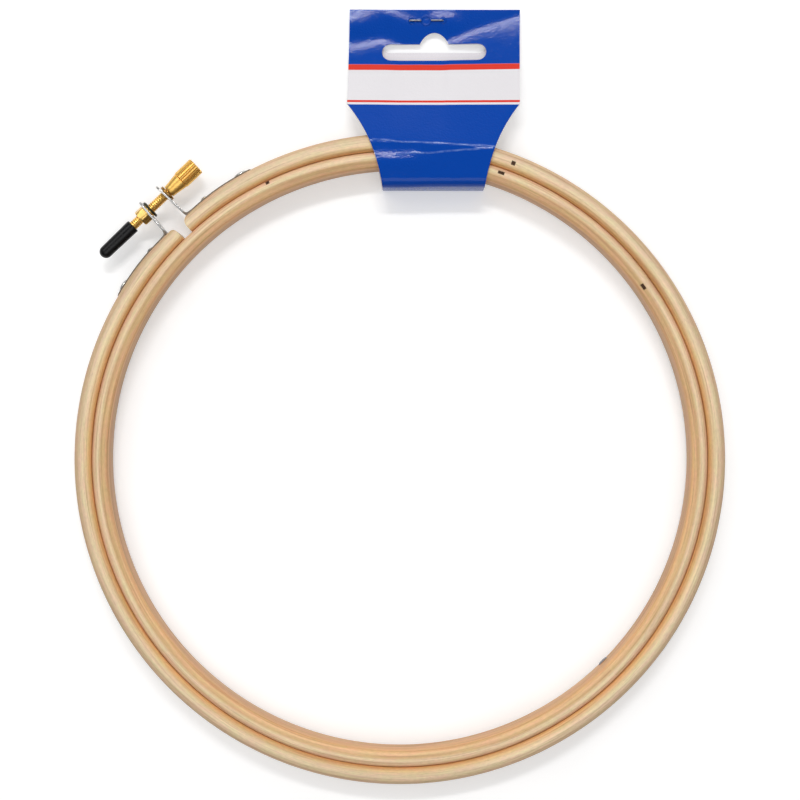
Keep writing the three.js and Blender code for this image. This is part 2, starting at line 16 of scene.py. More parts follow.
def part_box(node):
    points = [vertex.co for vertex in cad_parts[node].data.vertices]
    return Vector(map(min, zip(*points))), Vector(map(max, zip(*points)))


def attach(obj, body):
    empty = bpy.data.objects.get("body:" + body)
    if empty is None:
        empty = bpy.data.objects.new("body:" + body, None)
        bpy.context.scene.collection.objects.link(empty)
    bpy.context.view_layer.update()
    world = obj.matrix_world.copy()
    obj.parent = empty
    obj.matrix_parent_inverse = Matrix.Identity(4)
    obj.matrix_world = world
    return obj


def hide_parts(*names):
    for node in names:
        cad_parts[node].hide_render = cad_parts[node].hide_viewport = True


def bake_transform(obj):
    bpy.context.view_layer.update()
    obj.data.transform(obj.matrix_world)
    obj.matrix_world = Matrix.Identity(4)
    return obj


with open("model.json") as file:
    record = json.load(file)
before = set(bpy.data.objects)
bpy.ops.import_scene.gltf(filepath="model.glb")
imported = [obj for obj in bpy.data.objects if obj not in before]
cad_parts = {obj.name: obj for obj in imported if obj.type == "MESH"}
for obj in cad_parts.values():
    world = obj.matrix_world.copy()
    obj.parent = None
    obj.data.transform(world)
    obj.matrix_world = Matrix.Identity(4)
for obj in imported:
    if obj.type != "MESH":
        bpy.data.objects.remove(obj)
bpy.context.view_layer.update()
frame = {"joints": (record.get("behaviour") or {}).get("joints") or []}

LOG = logging.getLogger("embroidery_hoop")
MM = 0.001
FULL_TURN = 2 * math.pi
QUARTER_TURN = math.pi / 2
SMOOTH_ANGLE = math.radians(38)
SAME_POINT = 1e-7
NEAR_POINT = 1e-6
FRONT_FACING = 0.1
STEEP = 0.5
UPRIGHT = 0.9
WIRE_BEND_STEPS = 5
NOISE_RANGE = (0.3, 0.7)
WHITE = (1.0, 1.0, 1.0, 1.0)

Colour = tuple[float, float, float, float]
Shade = tuple[int, int, int]
Pair = tuple[float, float]
Triple = tuple[float, float, float]
BMesh = bmesh.types.BMesh
BMVert = bmesh.types.BMVert
BMEdge = bmesh.types.BMEdge
BMFace = bmesh.types.BMFace
BMLayerItem = bmesh.types.BMLayerItem
Material = bpy.types.Material
Node = bpy.types.Node
Socket = bpy.types.NodeSocket


class Body(Enum):
    """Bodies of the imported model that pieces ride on."""

    OUTER = "outer_hoop"
    ARM = "clamp_arm"
    SCREW = "screw"
    INNER = "inner_ring"
    CARD_BACK = "tag_back"
    CARD_FRONT = "tag_front"


class Slot(Enum):
    """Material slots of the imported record."""

    INNER_WOOD = "inner_hoop_wood"
    OUTER_WOOD = "outer_hoop_wood"
    BRACKET = "bracket_steel"
    RIVET = "rivet_steel"
    BRASS = "screw_brass"
    RUBBER = "cap_rubber"
    CARD = "tag_card"
    WIRE = "staple_wire"


class Side(Enum):
    """The two sides of the clamp, as signs along the screw."""

    RIGHT = 1
    LEFT = -1


def colour(red: float, green: float, blue: float) -> Colour:
    """Turns a display colour of 0 to 255 into the linear colour that shaders take.

    Args:
        red: Red of the display colour.
        green: Green of the display colour.
        blue: Blue of the display colour.

    Returns:
        The linear colour, opaque.
    """
    def linear(value: float) -> float:
        """Turns one channel of 0 to 255 into a linear value."""
        share = value / 255
        return share / 12.92 if share <= 0.04045 else ((share + 0.055) / 1.055) ** 2.4

    return linear(red), linear(green), linear(blue), 1.0


@dataclass(frozen=True)
class HoopPlaces:
    """Places that several pieces share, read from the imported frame.

    Attributes:
        centre: The hoops' axis, on the floor.
        clamp: Turns the clamp's axes, X along the screw and Y out through the split, into the frame's.
        axis_reach: Distance of the screw's axis from the hoops' axis.
        axis_height: Height of the screw's axis, the middle of the rims.
        end_paring: How far the outer hoop's wall is pared down at the split.
        paring_run: Distance along the screw from the split to the end of that paring.
    """

    centre: Vector
    clamp: Matrix
    axis_reach: float
    axis_height: float
    end_paring: float = 0.55 * MM
    paring_run: float = 18 * MM

    @classmethod
    def read(cls) -> "HoopPlaces":
        """Reads the places from the inner hoop's box and the screw's joint.

        Returns:
            The places.
        """
        low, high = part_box("inner_hoop")
        centre = (low + high) / 2
        centre.z = 0
        screw = next(joint for joint in frame["joints"] if joint["name"] == "screw_turn")
        along = Vector(screw["axis"]).normalized()
        on_axis = Vector(screw["pos_m"])
        up = Vector((0, 0, 1))
        turn = Matrix((along, up.cross(along), up)).transposed()
        reach = (on_axis - centre).to_2d().length
        return cls(centre, Matrix.Translation(centre) @ turn.to_4x4(), reach, on_axis.z)

    @property
    def screw_axis(self) -> Matrix:
        """Turns the screw's own axes, X along it, into the frame's."""
        return self.clamp @ Matrix.Translation((0, self.axis_reach, self.axis_height))

    def paring(self, along: float) -> float:
        """Gives how far the wall is pared down, at a distance along the screw from the split."""
        share = min(abs(along) / self.paring_run, 1)
        return self.end_paring * (1 - share ** 2 * (3 - 2 * share))

    def local_angle(self, degrees: float) -> float:
        """Turns an angle round the hoops, in degrees from the frame's X, into the clamp's radians."""
        along = self.clamp.col[0]
        return math.radians(degrees) - math.atan2(along.y, along.x)


# Mesh helpers


def round_axes(angle: float) -> tuple[Vector, Vector]:
    """Gives the directions out from the hoops' axis and along the rim, at an angle round it."""
    out = Vector((math.cos(angle), math.sin(angle), 0))
    return out, Vector((-out.y, out.x, 0))


def cubic(share: float, start: float, first: float, second: float, end: float) -> float:
    """Gives a value along a cubic curve.

    Args:
        share: Share of the way along the curve.
        start: Value at its start.
        first: Handle of its start.
        second: Handle of its end.
        end: Value at its end.

    Returns:
        The value there.
    """
    rest = 1 - share
    return (rest ** 3 * start + 3 * share * rest ** 2 * first
            + 3 * share ** 2 * rest * second + share ** 3 * end)


def make_piece(name: str, bm: BMesh, materials: Sequence[Material],
               place: Matrix | None = None, closed: bool = True) -> bpy.types.Object:
    """Turns a finished bmesh into an object at the origin, with its place in its mesh.

    Args:
        name: Name of the new object.
        bm: The mesh, which is freed.
        materials: Materials of the mesh, in the order of its faces' indices.
        place: Turns the mesh's own axes into the frame's.
        closed: Whether the mesh is a closed body, whose normals can be worked out.

    Returns:
        The new object.
    """
    if place is not None:
        bm.transform(place)
    if closed:
        bmesh.ops.recalc_face_normals(bm, faces=bm.faces)
    for face in bm.faces:
        face.smooth = True
    for edge in bm.edges:
        edge.smooth = edge.is_manifold and edge.calc_face_angle(0) < SMOOTH_ANGLE
    mesh = bpy.data.meshes.new(name)
    bm.to_mesh(mesh)
    bm.free()
    for material in materials:
        mesh.materials.append(material)
    piece = bpy.data.objects.new(name, mesh)
    bpy.context.scene.collection.objects.link(piece)
    return piece


def settle(piece: bpy.types.Object, body: Body, slot: Slot, *nodes: str) -> bpy.types.Object:
    """Puts a piece on its body and lets it stand for CAD nodes.

    Args:
        piece: The piece.
        body: Body that it rides on.
        slot: Material slot that its finish belongs to; not used.
        *nodes: CAD nodes that it stands for.

    Returns:
        The piece.
    """
    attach(piece, body.value)
    if nodes:
        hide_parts(*nodes)
    LOG.info("%s rides on %s", piece.name, body.value)
    return piece


def only(kind: type, geometry: Iterable[Any]) -> list[Any]:
    """Picks the elements of one kind from what a bmesh operator gives back."""
    return [element for element in geometry if isinstance(element, kind)]


def extrude_ring(bm: BMesh, ring: Sequence[BMEdge]) -> tuple[list[BMEdge], list[BMVert]]:
    """Extrudes a ring of edges in place.

    Args:
        bm: Mesh of the ring.
        ring: The ring's edges.

    Returns:
        Edges and points of the new ring.
    """
    made = bmesh.ops.extrude_edge_only(bm, edges=ring)["geom"]
    points = only(BMVert, made)
    return [edge for edge in only(BMEdge, made) if all(vert in points for vert in edge.verts)], points


def cut_through(bm: BMesh, faces: Collection[BMFace], point: Vector, normal: Vector,
                clear: bool = False) -> None:
    """Cuts faces along a plane.

    Args:
        bm: Mesh of the faces.
        faces: The faces.
        point: A point on the plane.
        normal: The plane's normal.
        clear: Whether what lies beyond the plane is taken away.
    """
    edges = {edge for face in faces for edge in face.edges}
    verts = {vert for face in faces for vert in face.verts}
    bmesh.ops.bisect_plane(bm, geom=[*faces, *edges, *verts], dist=SAME_POINT, plane_co=point,
                           plane_no=normal, clear_outer=clear)


def add_wall(piece: bpy.types.Object, name: str, thickness: float) -> bpy.types.Modifier:
    """Gives a sheet its thickness, half to each side.

    Args:
        piece: The sheet.
        name: Name of the modifier.
        thickness: The thickness.

    Returns:
        The modifier.
    """
    wall = piece.modifiers.new(name, "SOLIDIFY")
    wall.thickness, wall.offset, wall.use_even_offset = thickness, 0, True
    return wall


def turn_profile(profile: Sequence[Pair], steps: int) -> BMesh:
    """Turns a profile about the X axis, as on a lathe.

    Args:
        profile: Points as distance along the axis and radius, from the axis round to the axis or
            closed on itself.
        steps: Steps of the full turn.

    Returns:
        The turned body.
    """
    bm = bmesh.new()
    points = [bm.verts.new((along, radius, 0)) for along, radius in profile]
    edges = [bm.edges.new(pair) for pair in zip(points, points[1:])]
    if profile[0][1] > 0:
        edges.append(bm.edges.new((points[-1], points[0])))
    bmesh.ops.spin(bm, geom=points + edges, cent=(0, 0, 0), axis=(1, 0, 0), angle=FULL_TURN,
                   steps=steps, use_merge=True)
    bmesh.ops.remove_doubles(bm, verts=bm.verts, dist=SAME_POINT)
    return bm


def arc(middle: Pair, radius: float, start: float, end: float,
        steps: int) -> list[Pair]:
    """Gives points on an arc, both ends included.

    Args:
        middle: Centre of the arc.
        radius: Radius of the arc.
        start: Angle of its first point, in degrees.
        end: Angle of its last point, in degrees.
        steps: Steps between them.

    Returns:
        The points.
    """
    angles = [math.radians(start + (end - start) * step / steps) for step in range(steps + 1)]
    return [(middle[0] + radius * math.cos(a), middle[1] + radius * math.sin(a)) for a in angles]


def draw_rings(stations: Sequence[tuple[float, Callable[[float], float]]], sides: int,
               hollow: bool) -> BMesh:
    """Draws a ring out along the X axis through stations, each with its own outline.

    Args:
        stations: Distance along the axis and radius as a function of the angle.
        sides: Points of each ring.
        hollow: Whether the last ring joins the first, round a bore, in place of two end faces.

    Returns:
        The drawn body.
    """
    bm = bmesh.new()
    face_along = Matrix.Rotation(QUARTER_TURN, 4, "Y")
    points = bmesh.ops.create_circle(bm, segments=sides, radius=1, matrix=face_along)["verts"]
    first = ring = list(bm.edges)
    for step, (along, radius) in enumerate(stations):
        if step:
            ring, points = extrude_ring(bm, ring)
        for point in points:
            angle = math.atan2(point.co.z, point.co.y)
            size = radius(angle)
            point.co = (along, size * math.cos(angle), size * math.sin(angle))
    if hollow:
        bmesh.ops.bridge_loops(bm, edges=first + ring)
    else:
        bmesh.ops.holes_fill(bm, edges=first + ring, sides=0)
    return bm


def round_ring(radius: float) -> Callable[[float], float]:
    """Gives a round station of the radius."""
    return lambda angle: radius


class BentWire:
    """A round wire that is drawn out straight and bent, as a staple is."""

    def __init__(self, start: Vector, heading: Vector, radius: float, sides: int = 12) -> None:
        """Starts the wire with a flat end.

        Args:
            start: Middle of the first end.
            heading: Direction in which the wire runs.
            radius: Radius of the wire.
            sides: Points round it.
        """
        self.bm = bmesh.new()
        self.here = start.copy()
        self.heading = heading.normalized()
        turn = self.heading.to_track_quat("Z", "Y").to_matrix().to_4x4()
        bmesh.ops.create_circle(self.bm, cap_ends=True, segments=sides, radius=radius,
                                matrix=Matrix.Translation(start) @ turn)
        self.ring = list(self.bm.edges)

    def straight(self, length: float) -> "BentWire":
        """Draws the wire on straight.

        Args:
            length: How far.

        Returns:
            The wire.
        """
        self.ring, points = extrude_ring(self.bm, self.ring)
        bmesh.ops.translate(self.bm, verts=points, vec=self.heading * length)
        self.here += self.heading * length
        return self

    def bend(self, towards: Vector, radius: float, angle: float = QUARTER_TURN) -> "BentWire":
        """Bends the wire towards a direction at right angles to it.

        Args:
            towards: Direction in which the wire turns.
            radius: Radius of the bend, at the wire's middle.
            angle: How far it turns.

        Returns:
            The wire.
        """
        middle = self.here + towards.normalized() * radius
        axis = self.heading.cross(towards).normalized()
        points = list({vert for edge in self.ring for vert in edge.verts})
        made = bmesh.ops.spin(self.bm, geom=points + self.ring, cent=middle, axis=axis, angle=angle,
                              steps=WIRE_BEND_STEPS)["geom_last"]
        self.ring = only(BMEdge, made)
        turn = Matrix.Rotation(angle, 3, axis)
        self.here = middle + turn @ (self.here - middle)
        self.heading = turn @ self.heading
        return self

    def end(self) -> BMesh:
        """Closes the wire with a flat end and gives its mesh."""
        bmesh.ops.holes_fill(self.bm, edges=self.ring, sides=0)
        return self.bm


# Finishes


class NodeTree:
    """A shader node tree, with short calls that add and join nodes."""

    def __init__(self, tree: bpy.types.NodeTree) -> None:
        """Holds the tree."""
        self.tree = tree

    def feed(self, socket: Socket, value: Any) -> None:
        """Joins an input to an output, or sets it to a value.

        Args:
            socket: The input.
            value: The output, or the value.
        """
        if isinstance(value, Socket):
            self.tree.links.new(value, socket)
        else:
            socket.default_value = value

    def add(self, kind: str, inputs: dict[Any, Any] | None = None, **settings: Any) -> Node:
        """Adds a node.

        Args:
            kind: Blender's name of the node's type.
            inputs: Values or outputs for its inputs, by name or number.
            **settings: Settings of the node itself.

        Returns:
            The node.
        """
        node = self.tree.nodes.new(kind)
        for name, value in settings.items():
            setattr(node, name, value)
        for name, value in (inputs or {}).items():
            self.feed(node.inputs[name], value)
        return node

    def maths(self, operation: str, *values: Any) -> Socket:
        """Adds a Math node and gives its output."""
        return self.add("ShaderNodeMath", dict(enumerate(values)), operation=operation).outputs[0]

    def vectors(self, operation: str, *values: Any) -> Socket:
        """Adds a Vector Math node and gives its vector."""
        inputs = dict(enumerate(values))
        return self.add("ShaderNodeVectorMath", inputs, operation=operation).outputs[0]

    def spread(self, value: Any, low: Any, high: float, to_low: float = 0.0, to_high: float = 1.0,
               smooth: bool = False) -> Socket:
        """Spreads a value from one range over another.

        Args:
            value: The value.
            low: Start of its range.
            high: End of its range.
            to_low: Start of the new range.
            to_high: End of the new range.
            smooth: Whether the result eases in and out.

        Returns:
            The result.
        """
        inputs = {"Value": value, "From Min": low, "From Max": high, "To Min": to_low, "To Max": to_high}
        kind = "SMOOTHSTEP" if smooth else "LINEAR"
        return self.add("ShaderNodeMapRange", inputs, interpolation_type=kind).outputs[0]

    def swing(self, noise: Socket, low: float, high: float) -> Socket:
        """Spreads the usual values of a noise between two values."""
        return self.spread(noise, *NOISE_RANGE, low, high)

    def sway(self, noise: Socket, size: float) -> Socket:
        """Turns a noise into a shift of up to half a size to either side."""
        return self.maths("MULTIPLY", self.maths("SUBTRACT", noise, 0.5), size)

    def weighted(self, first: Socket, first_weight: float, second: Socket, second_weight: float) -> Socket:
        """Adds up two values, each times its weight."""
        return self.maths("ADD", self.maths("MULTIPLY", first, first_weight),
                          self.maths("MULTIPLY", second, second_weight))

    def noise(self, vector: Any, scale: Any, detail: float = 3.0, roughness: float = 0.55) -> Socket:
        """Adds a noise texture and gives its value."""
        inputs = {"Vector": vector, "Scale": scale, "Detail": detail, "Roughness": roughness}
        return self.add("ShaderNodeTexNoise", inputs).outputs[0]

    def stretched(self, vector: Any, scales: Any, detail: float = 3.0, roughness: float = 0.55) -> Socket:
        """Adds a noise texture with a scale of its own along each axis, and gives its value."""
        return self.noise(self.vectors("MULTIPLY", vector, scales), 1.0, detail, roughness)

    def mix(self, share: Any, first: Any, second: Any, blend: str = "MIX") -> Socket:
        """Mixes two colours, by the share of the second, and gives the result."""
        inputs = {0: share, 6: first, 7: second}
        return self.add("ShaderNodeMix", inputs, data_type="RGBA", blend_type=blend).outputs[2]

    def ramp(self, value: Any, stops: Iterable[tuple[float, Colour]]) -> Socket:
        """Colours a value by a ramp.

        Args:
            value: The value, from 0 to 1.
            stops: Place and colour of each stop, two or more.

        Returns:
            The colour.
        """
        node = self.add("ShaderNodeValToRGB", {"Fac": value})
        elements = node.color_ramp.elements
        for number, (at, shade) in enumerate(stops):
            element = elements[number] if number < 2 else elements.new(at)
            element.position = at
            element.color = shade
        return node.outputs[0]

    def group(self, tree: bpy.types.NodeTree, **inputs: Any) -> Node:
        """Adds a node group with its inputs, whose names have underscores for spaces."""
        named = {name.replace("_", " "): value for name, value in inputs.items()}
        return self.add("ShaderNodeGroup", named, node_tree=tree)

    def give(self, **outputs: Socket) -> bpy.types.NodeTree:
        """Ends a node group with its outputs, all of them values.

        Args:
            **outputs: Each output, by its name.

        Returns:
            The group.
        """
        for name in outputs:
            self.tree.interface.new_socket(name, in_out="OUTPUT", socket_type="NodeSocketFloat")
        self.add("NodeGroupOutput", outputs)
        return self.tree

    def place(self) -> Socket:
        """Gives the place on a piece, in the frame's axes."""
        return self.add("ShaderNodeTexCoord").outputs["Object"]

    def rays(self) -> tuple[Socket, Socket]:
        """Tells the camera's rays from others.

        Returns:
            Whether a ray is the camera's, and whether it comes from a mirror or through glass.
        """
        path = self.add("ShaderNodeLightPath").outputs
        mirrored = self.maths("MAXIMUM", path["Is Glossy Ray"], path["Is Transmission Ray"])
        return path["Is Camera Ray"], mirrored

    def mottle(self, shader: Node, share: Socket, first: Shade, second: Shade) -> None:
        """Gives a shader its colour, from two display colours by the share of the second."""
        self.feed(shader.inputs["Base Color"], self.mix(share, colour(*first), colour(*second)))

    def bump(self, shader: Node, height: Socket, strength: float, depth: float) -> None:
        """Gives a shader its normal from a height, at a strength and a depth in metres."""
        inputs = {"Height": height, "Strength": strength, "Distance": depth}
        self.feed(shader.inputs["Normal"], self.add("ShaderNodeBump", inputs).outputs[0])


def start_group(name: str, inputs: Sequence[tuple[str, str, Any]]) -> tuple[NodeTree, Node]:
    """Starts a shader node group with its inputs.

    Args:
        name: Name of the group.
        inputs: Name, socket type and default of each input.

    Returns:
        The group's tree and its input node.
    """
    tree = bpy.data.node_groups.new(name, "ShaderNodeTree")
    for label, kind, default in inputs:
        socket = tree.interface.new_socket(label, in_out="INPUT", socket_type=kind)
        if default is not None:
            socket.default_value = default
    nodes = NodeTree(tree)
    return nodes, nodes.add("NodeGroupInput")


def wood_grain_group() -> bpy.types.NodeTree:
    """Makes the grain of a bent wooden strip: streaks along it, broad shading and short dark flecks.

    Returns:
        The group.
    """
    coarse_scale, shading_scale, fleck_scale = (0.4, 0.35, 1), (22, 160, 1), (520, 4200, 1)
    fleck_most = 0.82
    nodes, given = start_group(
        "strip_grain",
        [("Strip", "NodeSocketVector", None), ("Streak Length", "NodeSocketFloat", 0.02),
         ("Streak Width", "NodeSocketFloat", 0.0004), ("Fleck Least", "NodeSocketFloat", 0.66)])
    strip = given.outputs["Strip"]
    per_length = nodes.maths("DIVIDE", 1.0, given.outputs["Streak Length"])
    per_width = nodes.maths("DIVIDE", 1.0, given.outputs["Streak Width"])
    across = nodes.add("ShaderNodeCombineXYZ", {"X": per_length, "Y": per_width}).outputs[0]
    drawn = nodes.vectors("MULTIPLY", strip, across)
    coarse = nodes.stretched(drawn, coarse_scale, 2.0)
    fine = nodes.noise(drawn, 1.0, 4.0, 0.6)
    short = nodes.stretched(strip, fleck_scale, 1.0)
    return nodes.give(Streaks=nodes.weighted(coarse, 0.5, fine, 0.5),
                      Shading=nodes.stretched(strip, shading_scale, 3.0, 0.6),
                      Flecks=nodes.spread(short, given.outputs["Fleck Least"], fleck_most))


def metal_wear_group() -> bpy.types.NodeTree:
    """Makes the wear of small metal pieces: fine marks along their draw, and dull patches.

    Returns:
        The group.
    """
    patch_range = (0.38, 0.68)
    nodes, given = start_group(
        "metal_wear",
        [("Place", "NodeSocketVector", None), ("Mark Scale", "NodeSocketVector", (1, 1, 1)),
         ("Patch Scale", "NodeSocketFloat", 300.0)])
    place = given.outputs["Place"]
    patch = nodes.noise(place, given.outputs["Patch Scale"], 3.0, 0.6)
    return nodes.give(Marks=nodes.stretched(place, given.outputs["Mark Scale"], 3.0, 0.6),
                      Patches=nodes.spread(patch, *patch_range, smooth=True))


def card_surface_group() -> bpy.types.NodeTree:
    """Makes the surface of coated card: slow waves, fine peel and paper fibre.

    Returns:
        The group.
    """
    peel_scale, fibre_scale = 1600.0, 5200.0
    nodes, given = start_group(
        "card_surface", [("Place", "NodeSocketVector", None), ("Wave Scale", "NodeSocketFloat", 90.0)])
    place = given.outputs["Place"]
    return nodes.give(Waves=nodes.noise(place, given.outputs["Wave Scale"], 1.0, 0.5),
                      Peel=nodes.noise(place, peel_scale, 1.0),
                      Fibre=nodes.noise(place, fibre_scale, 3.0, 0.65))


def start_material(name: str) -> tuple[Material, NodeTree, Node]:
    """Starts a node material.

    Args:
        name: Name of the material.

    Returns:
        The material, its tree and its Principled shader.
    """
    material = bpy.data.materials.new(name)
    material.use_nodes = True
    return material, NodeTree(material.node_tree), material.node_tree.nodes["Principled BSDF"]


@dataclass(frozen=True)
class Groups:
    """The node groups that several finishes share."""

    grain: bpy.types.NodeTree
    wear: bpy.types.NodeTree
    card: bpy.types.NodeTree

    @classmethod
    def make(cls) -> "Groups":
        """Makes every group once."""
        return cls(wood_grain_group(), metal_wear_group(), card_surface_group())


class Stretch(Enum):
    """Stretches of a rim's section, in their order round it from the outer end of the back."""

    BACK_OUTER_EDGE = 0
    OUTER_WALL = 1
    FRONT_OUTER_EDGE = 2
    FRONT_FACE = 3
    FRONT_INNER_EDGE = 4
    INNER_WALL = 5
    BACK_INNER_EDGE = 6
    BACK_FACE = 7


@dataclass(frozen=True)
class Tone:
    """A colour of the wood at a place on the rim's section, with painted light and shade in it.

    Attributes:
        stretch: Stretch of the section.
        share: How far along that stretch, from 0 to 1.
        shade: Display colour there, made lighter or darker as painted light and shade.
    """

    stretch: Stretch
    share: float
    shade: Shade


@dataclass(frozen=True)
class RimSection:
    """Section of a wooden rim: a tall rectangle with rounded corners, in radius and height."""

    inside: float
    outside: float
    back: float
    front: float
    inner_round: float
    outer_round: float
    round_steps: int = 9

    @property
    def lengths(self) -> tuple[float, ...]:
        """Lengths of the stretches, in their order."""
        flat = self.outside - self.inside - self.inner_round - self.outer_round
        depth = self.front - self.back
        outer, inner = QUARTER_TURN * self.outer_round, QUARTER_TURN * self.inner_round
        return (outer, depth - 2 * self.outer_round, outer, flat,
                inner, depth - 2 * self.inner_round, inner, flat)

    def share_at(self, stretch: Stretch, share: float) -> float:
        """Gives how far round the section a place on a stretch lies, from 0 to 1."""
        before = sum(self.lengths[:stretch.value])
        return (before + self.lengths[stretch.value] * share) / sum(self.lengths)

    def draw(self, bm: BMesh) -> BMLayerItem:
        """Draws the section in the XZ plane and notes each point's way round it.

        Args:
            bm: An empty mesh.

        Returns:
            The layer that holds each point's way round the section.
        """
        layer = bm.verts.layers.float.new("round")
        corners = ((self.inside, self.back), (self.outside, self.back),
                   (self.outside, self.front), (self.inside, self.front))
        bm.faces.new([bm.verts.new((radius, 0, height)) for radius, height in corners])
        for wall, size in ((self.inside, self.inner_round), (self.outside, self.outer_round)):
            ends = [vert for vert in bm.verts if abs(vert.co.x - wall) < SAME_POINT]
            bmesh.ops.bevel(bm, geom=ends, offset=size, offset_type="OFFSET", affect="VERTICES",
                            segments=self.round_steps, profile=0.5, material=-1)
        bm.faces.ensure_lookup_table()
        ring = list(bm.faces[0].verts)
        start = max((v for v in ring if abs(v.co.z - self.back) < SAME_POINT), key=lambda v: v.co.x)
        first = ring.index(start)
        ring = ring[first:] + ring[:first]
        if ring[1].co.x < start.co.x:
            ring = [start] + ring[:0:-1]
        way = 0.0
        for here, following in zip(ring, ring[1:] + ring[:1]):
            here[layer] = way
            way += (following.co - here.co).length
        bmesh.ops.delete(bm, geom=list(bm.faces), context="FACES_ONLY")
        return layer


@dataclass(frozen=True)
class WoodFinish:
    """Sanded and waxed beech, whose colour changes round the rim's section: lighter on the front face and
    darker on the walls, partly the wood's colour and partly painted light and shade.
    """

    name: str
    tones: tuple[Tone, ...]
    tone_wander: float = 0.014
    streak_length: float = 26 * MM
    streak_width: float = 0.42 * MM
    streak_range: Pair = (0.5, 0.72)
    streak_share: float = 0.62
    streak_gain: Pair = (1.09, 0.92)
    dark_streak: Shade = (186, 138, 92)
    shading_gain: Pair = (0.91, 1.08)
    pore_scale: Triple = (700, 2400, 1)
    pore_gain: Pair = (1.06, 0.93)
    blush_scale: Triple = (170, 700, 1)
    blush_range: Pair = (0.36, 0.64)
    pink_tint: Shade = (255, 246, 246)
    green_tint: Shade = (249, 254, 241)
    fleck_least: float = 0.68
    fleck_share: float = 0.45
    fleck_depth: float = 0.6
    fleck_shade: Shade = (150, 96, 52)
    roughness: Pair = (0.40, 0.56)
    grain_strength: float = 0.35
    grain_depth: float = 0.05 * MM

    def material(self, groups: Groups, section: RimSection) -> Material:
        """Makes the material for a rim.

        Args:
            groups: Shared node groups.
            section: The rim's section, which places the tones.

        Returns:
            The material.
        """
        material, nodes, shader = start_material(self.name)
        strip = nodes.add("ShaderNodeUVMap", uv_map="strip").outputs[0]
        grain = nodes.group(groups.grain, Strip=strip, Streak_Length=self.streak_length,
                            Streak_Width=self.streak_width, Fleck_Least=self.fleck_least)
        streaks, shading, flecks = (grain.outputs[name] for name in ("Streaks", "Shading", "Flecks"))
        way = nodes.add("ShaderNodeSeparateXYZ", {0: strip}).outputs["Y"]
        share = nodes.maths("ADD", nodes.maths("DIVIDE", way, sum(section.lengths)),
                            nodes.sway(shading, self.tone_wander))
        wood = nodes.ramp(share, [(section.share_at(tone.stretch, tone.share), colour(*tone.shade))
                                  for tone in self.tones])
        dark = nodes.spread(streaks, *self.streak_range, 0.0, self.streak_share)
        wood = nodes.mix(dark, wood, colour(*self.dark_streak), "MULTIPLY")
        blush = nodes.spread(nodes.stretched(strip, self.blush_scale, 2.0), *self.blush_range)
        tint = nodes.mix(blush, colour(*self.pink_tint), colour(*self.green_tint))
        wood = nodes.mix(1.0, wood, tint, "MULTIPLY")
        pores = nodes.stretched(strip, self.pore_scale, 2.0)
        level = nodes.swing(shading, *self.shading_gain)
        for noise, gain in ((pores, self.pore_gain), (streaks, self.streak_gain)):
            level = nodes.maths("MULTIPLY", level, nodes.swing(noise, *gain))
        scaled = nodes.add("ShaderNodeVectorMath", {0: wood, "Scale": level}, operation="SCALE")
        covered = nodes.maths("MULTIPLY", flecks, self.fleck_share)
        wood = nodes.mix(covered, scaled.outputs[0], colour(*self.fleck_shade))
        nodes.feed(shader.inputs["Base Color"], wood)
        nodes.feed(shader.inputs["Roughness"], nodes.swing(streaks, *self.roughness))
        height = nodes.maths("SUBTRACT", streaks, nodes.maths("MULTIPLY", flecks, self.fleck_depth))
        nodes.bump(shader, height, self.grain_strength, self.grain_depth)
        return material


@dataclass(frozen=True)
class MarkFinish:
    """Dark colour on the floor and walls of a pin mark's recess, mottled with darker blotches."""

    name: str = "mark_dark_wood"
    shade: Shade = (96, 66, 44)
    blotch_shade: Shade = (30, 20, 14)
    blotch_scale: float = 2500.0
    blotch_share: float = 0.55
    roughness: float = 0.85

    def material(self) -> Material:
        """Makes the material.

        Returns:
            The material.
        """
        material, nodes, shader = start_material(self.name)
        blotches = nodes.swing(nodes.noise(nodes.place(), self.blotch_scale), 0.0, self.blotch_share)
        nodes.mottle(shader, blotches, self.shade, self.blotch_shade)
        shader.inputs["Roughness"].default_value = self.roughness
        return material


@dataclass(frozen=True)
class MetalFinish:
    """A small metal piece with fine marks and dull patches."""

    name: str
    shade: Shade
    dull_shade: Shade
    roughness: Pair
    mark_scale: Triple = (900.0, 900.0, 900.0)
    mark_depth: float = 0.0015 * MM
    mark_strength: float = 0.3
    mark_weight: float = 0.6
    patch_scale: float = 420.0
    patch_share: float = 0.35
    patch_weight: float = 0.4
    wear_range: Pair = (0.2, 0.8)

    def material(self, groups: Groups) -> Material:
        """Makes the material from the shared wear.

        Args:
            groups: Shared node groups.

        Returns:
            The material.
        """
        material, nodes, shader = start_material(self.name)
        wear = nodes.group(groups.wear, Place=nodes.place(), Mark_Scale=self.mark_scale,
                           Patch_Scale=self.patch_scale)
        marks, patches = wear.outputs["Marks"], wear.outputs["Patches"]
        dull = nodes.maths("MULTIPLY", patches, self.patch_share)
        nodes.mottle(shader, dull, self.shade, self.dull_shade)
        shader.inputs["Metallic"].default_value = 1.0
        rough = nodes.weighted(marks, self.mark_weight, patches, self.patch_weight)
        nodes.feed(shader.inputs["Roughness"], nodes.spread(rough, *self.wear_range, *self.roughness))
        nodes.bump(shader, marks, self.mark_strength, self.mark_depth)
        return material


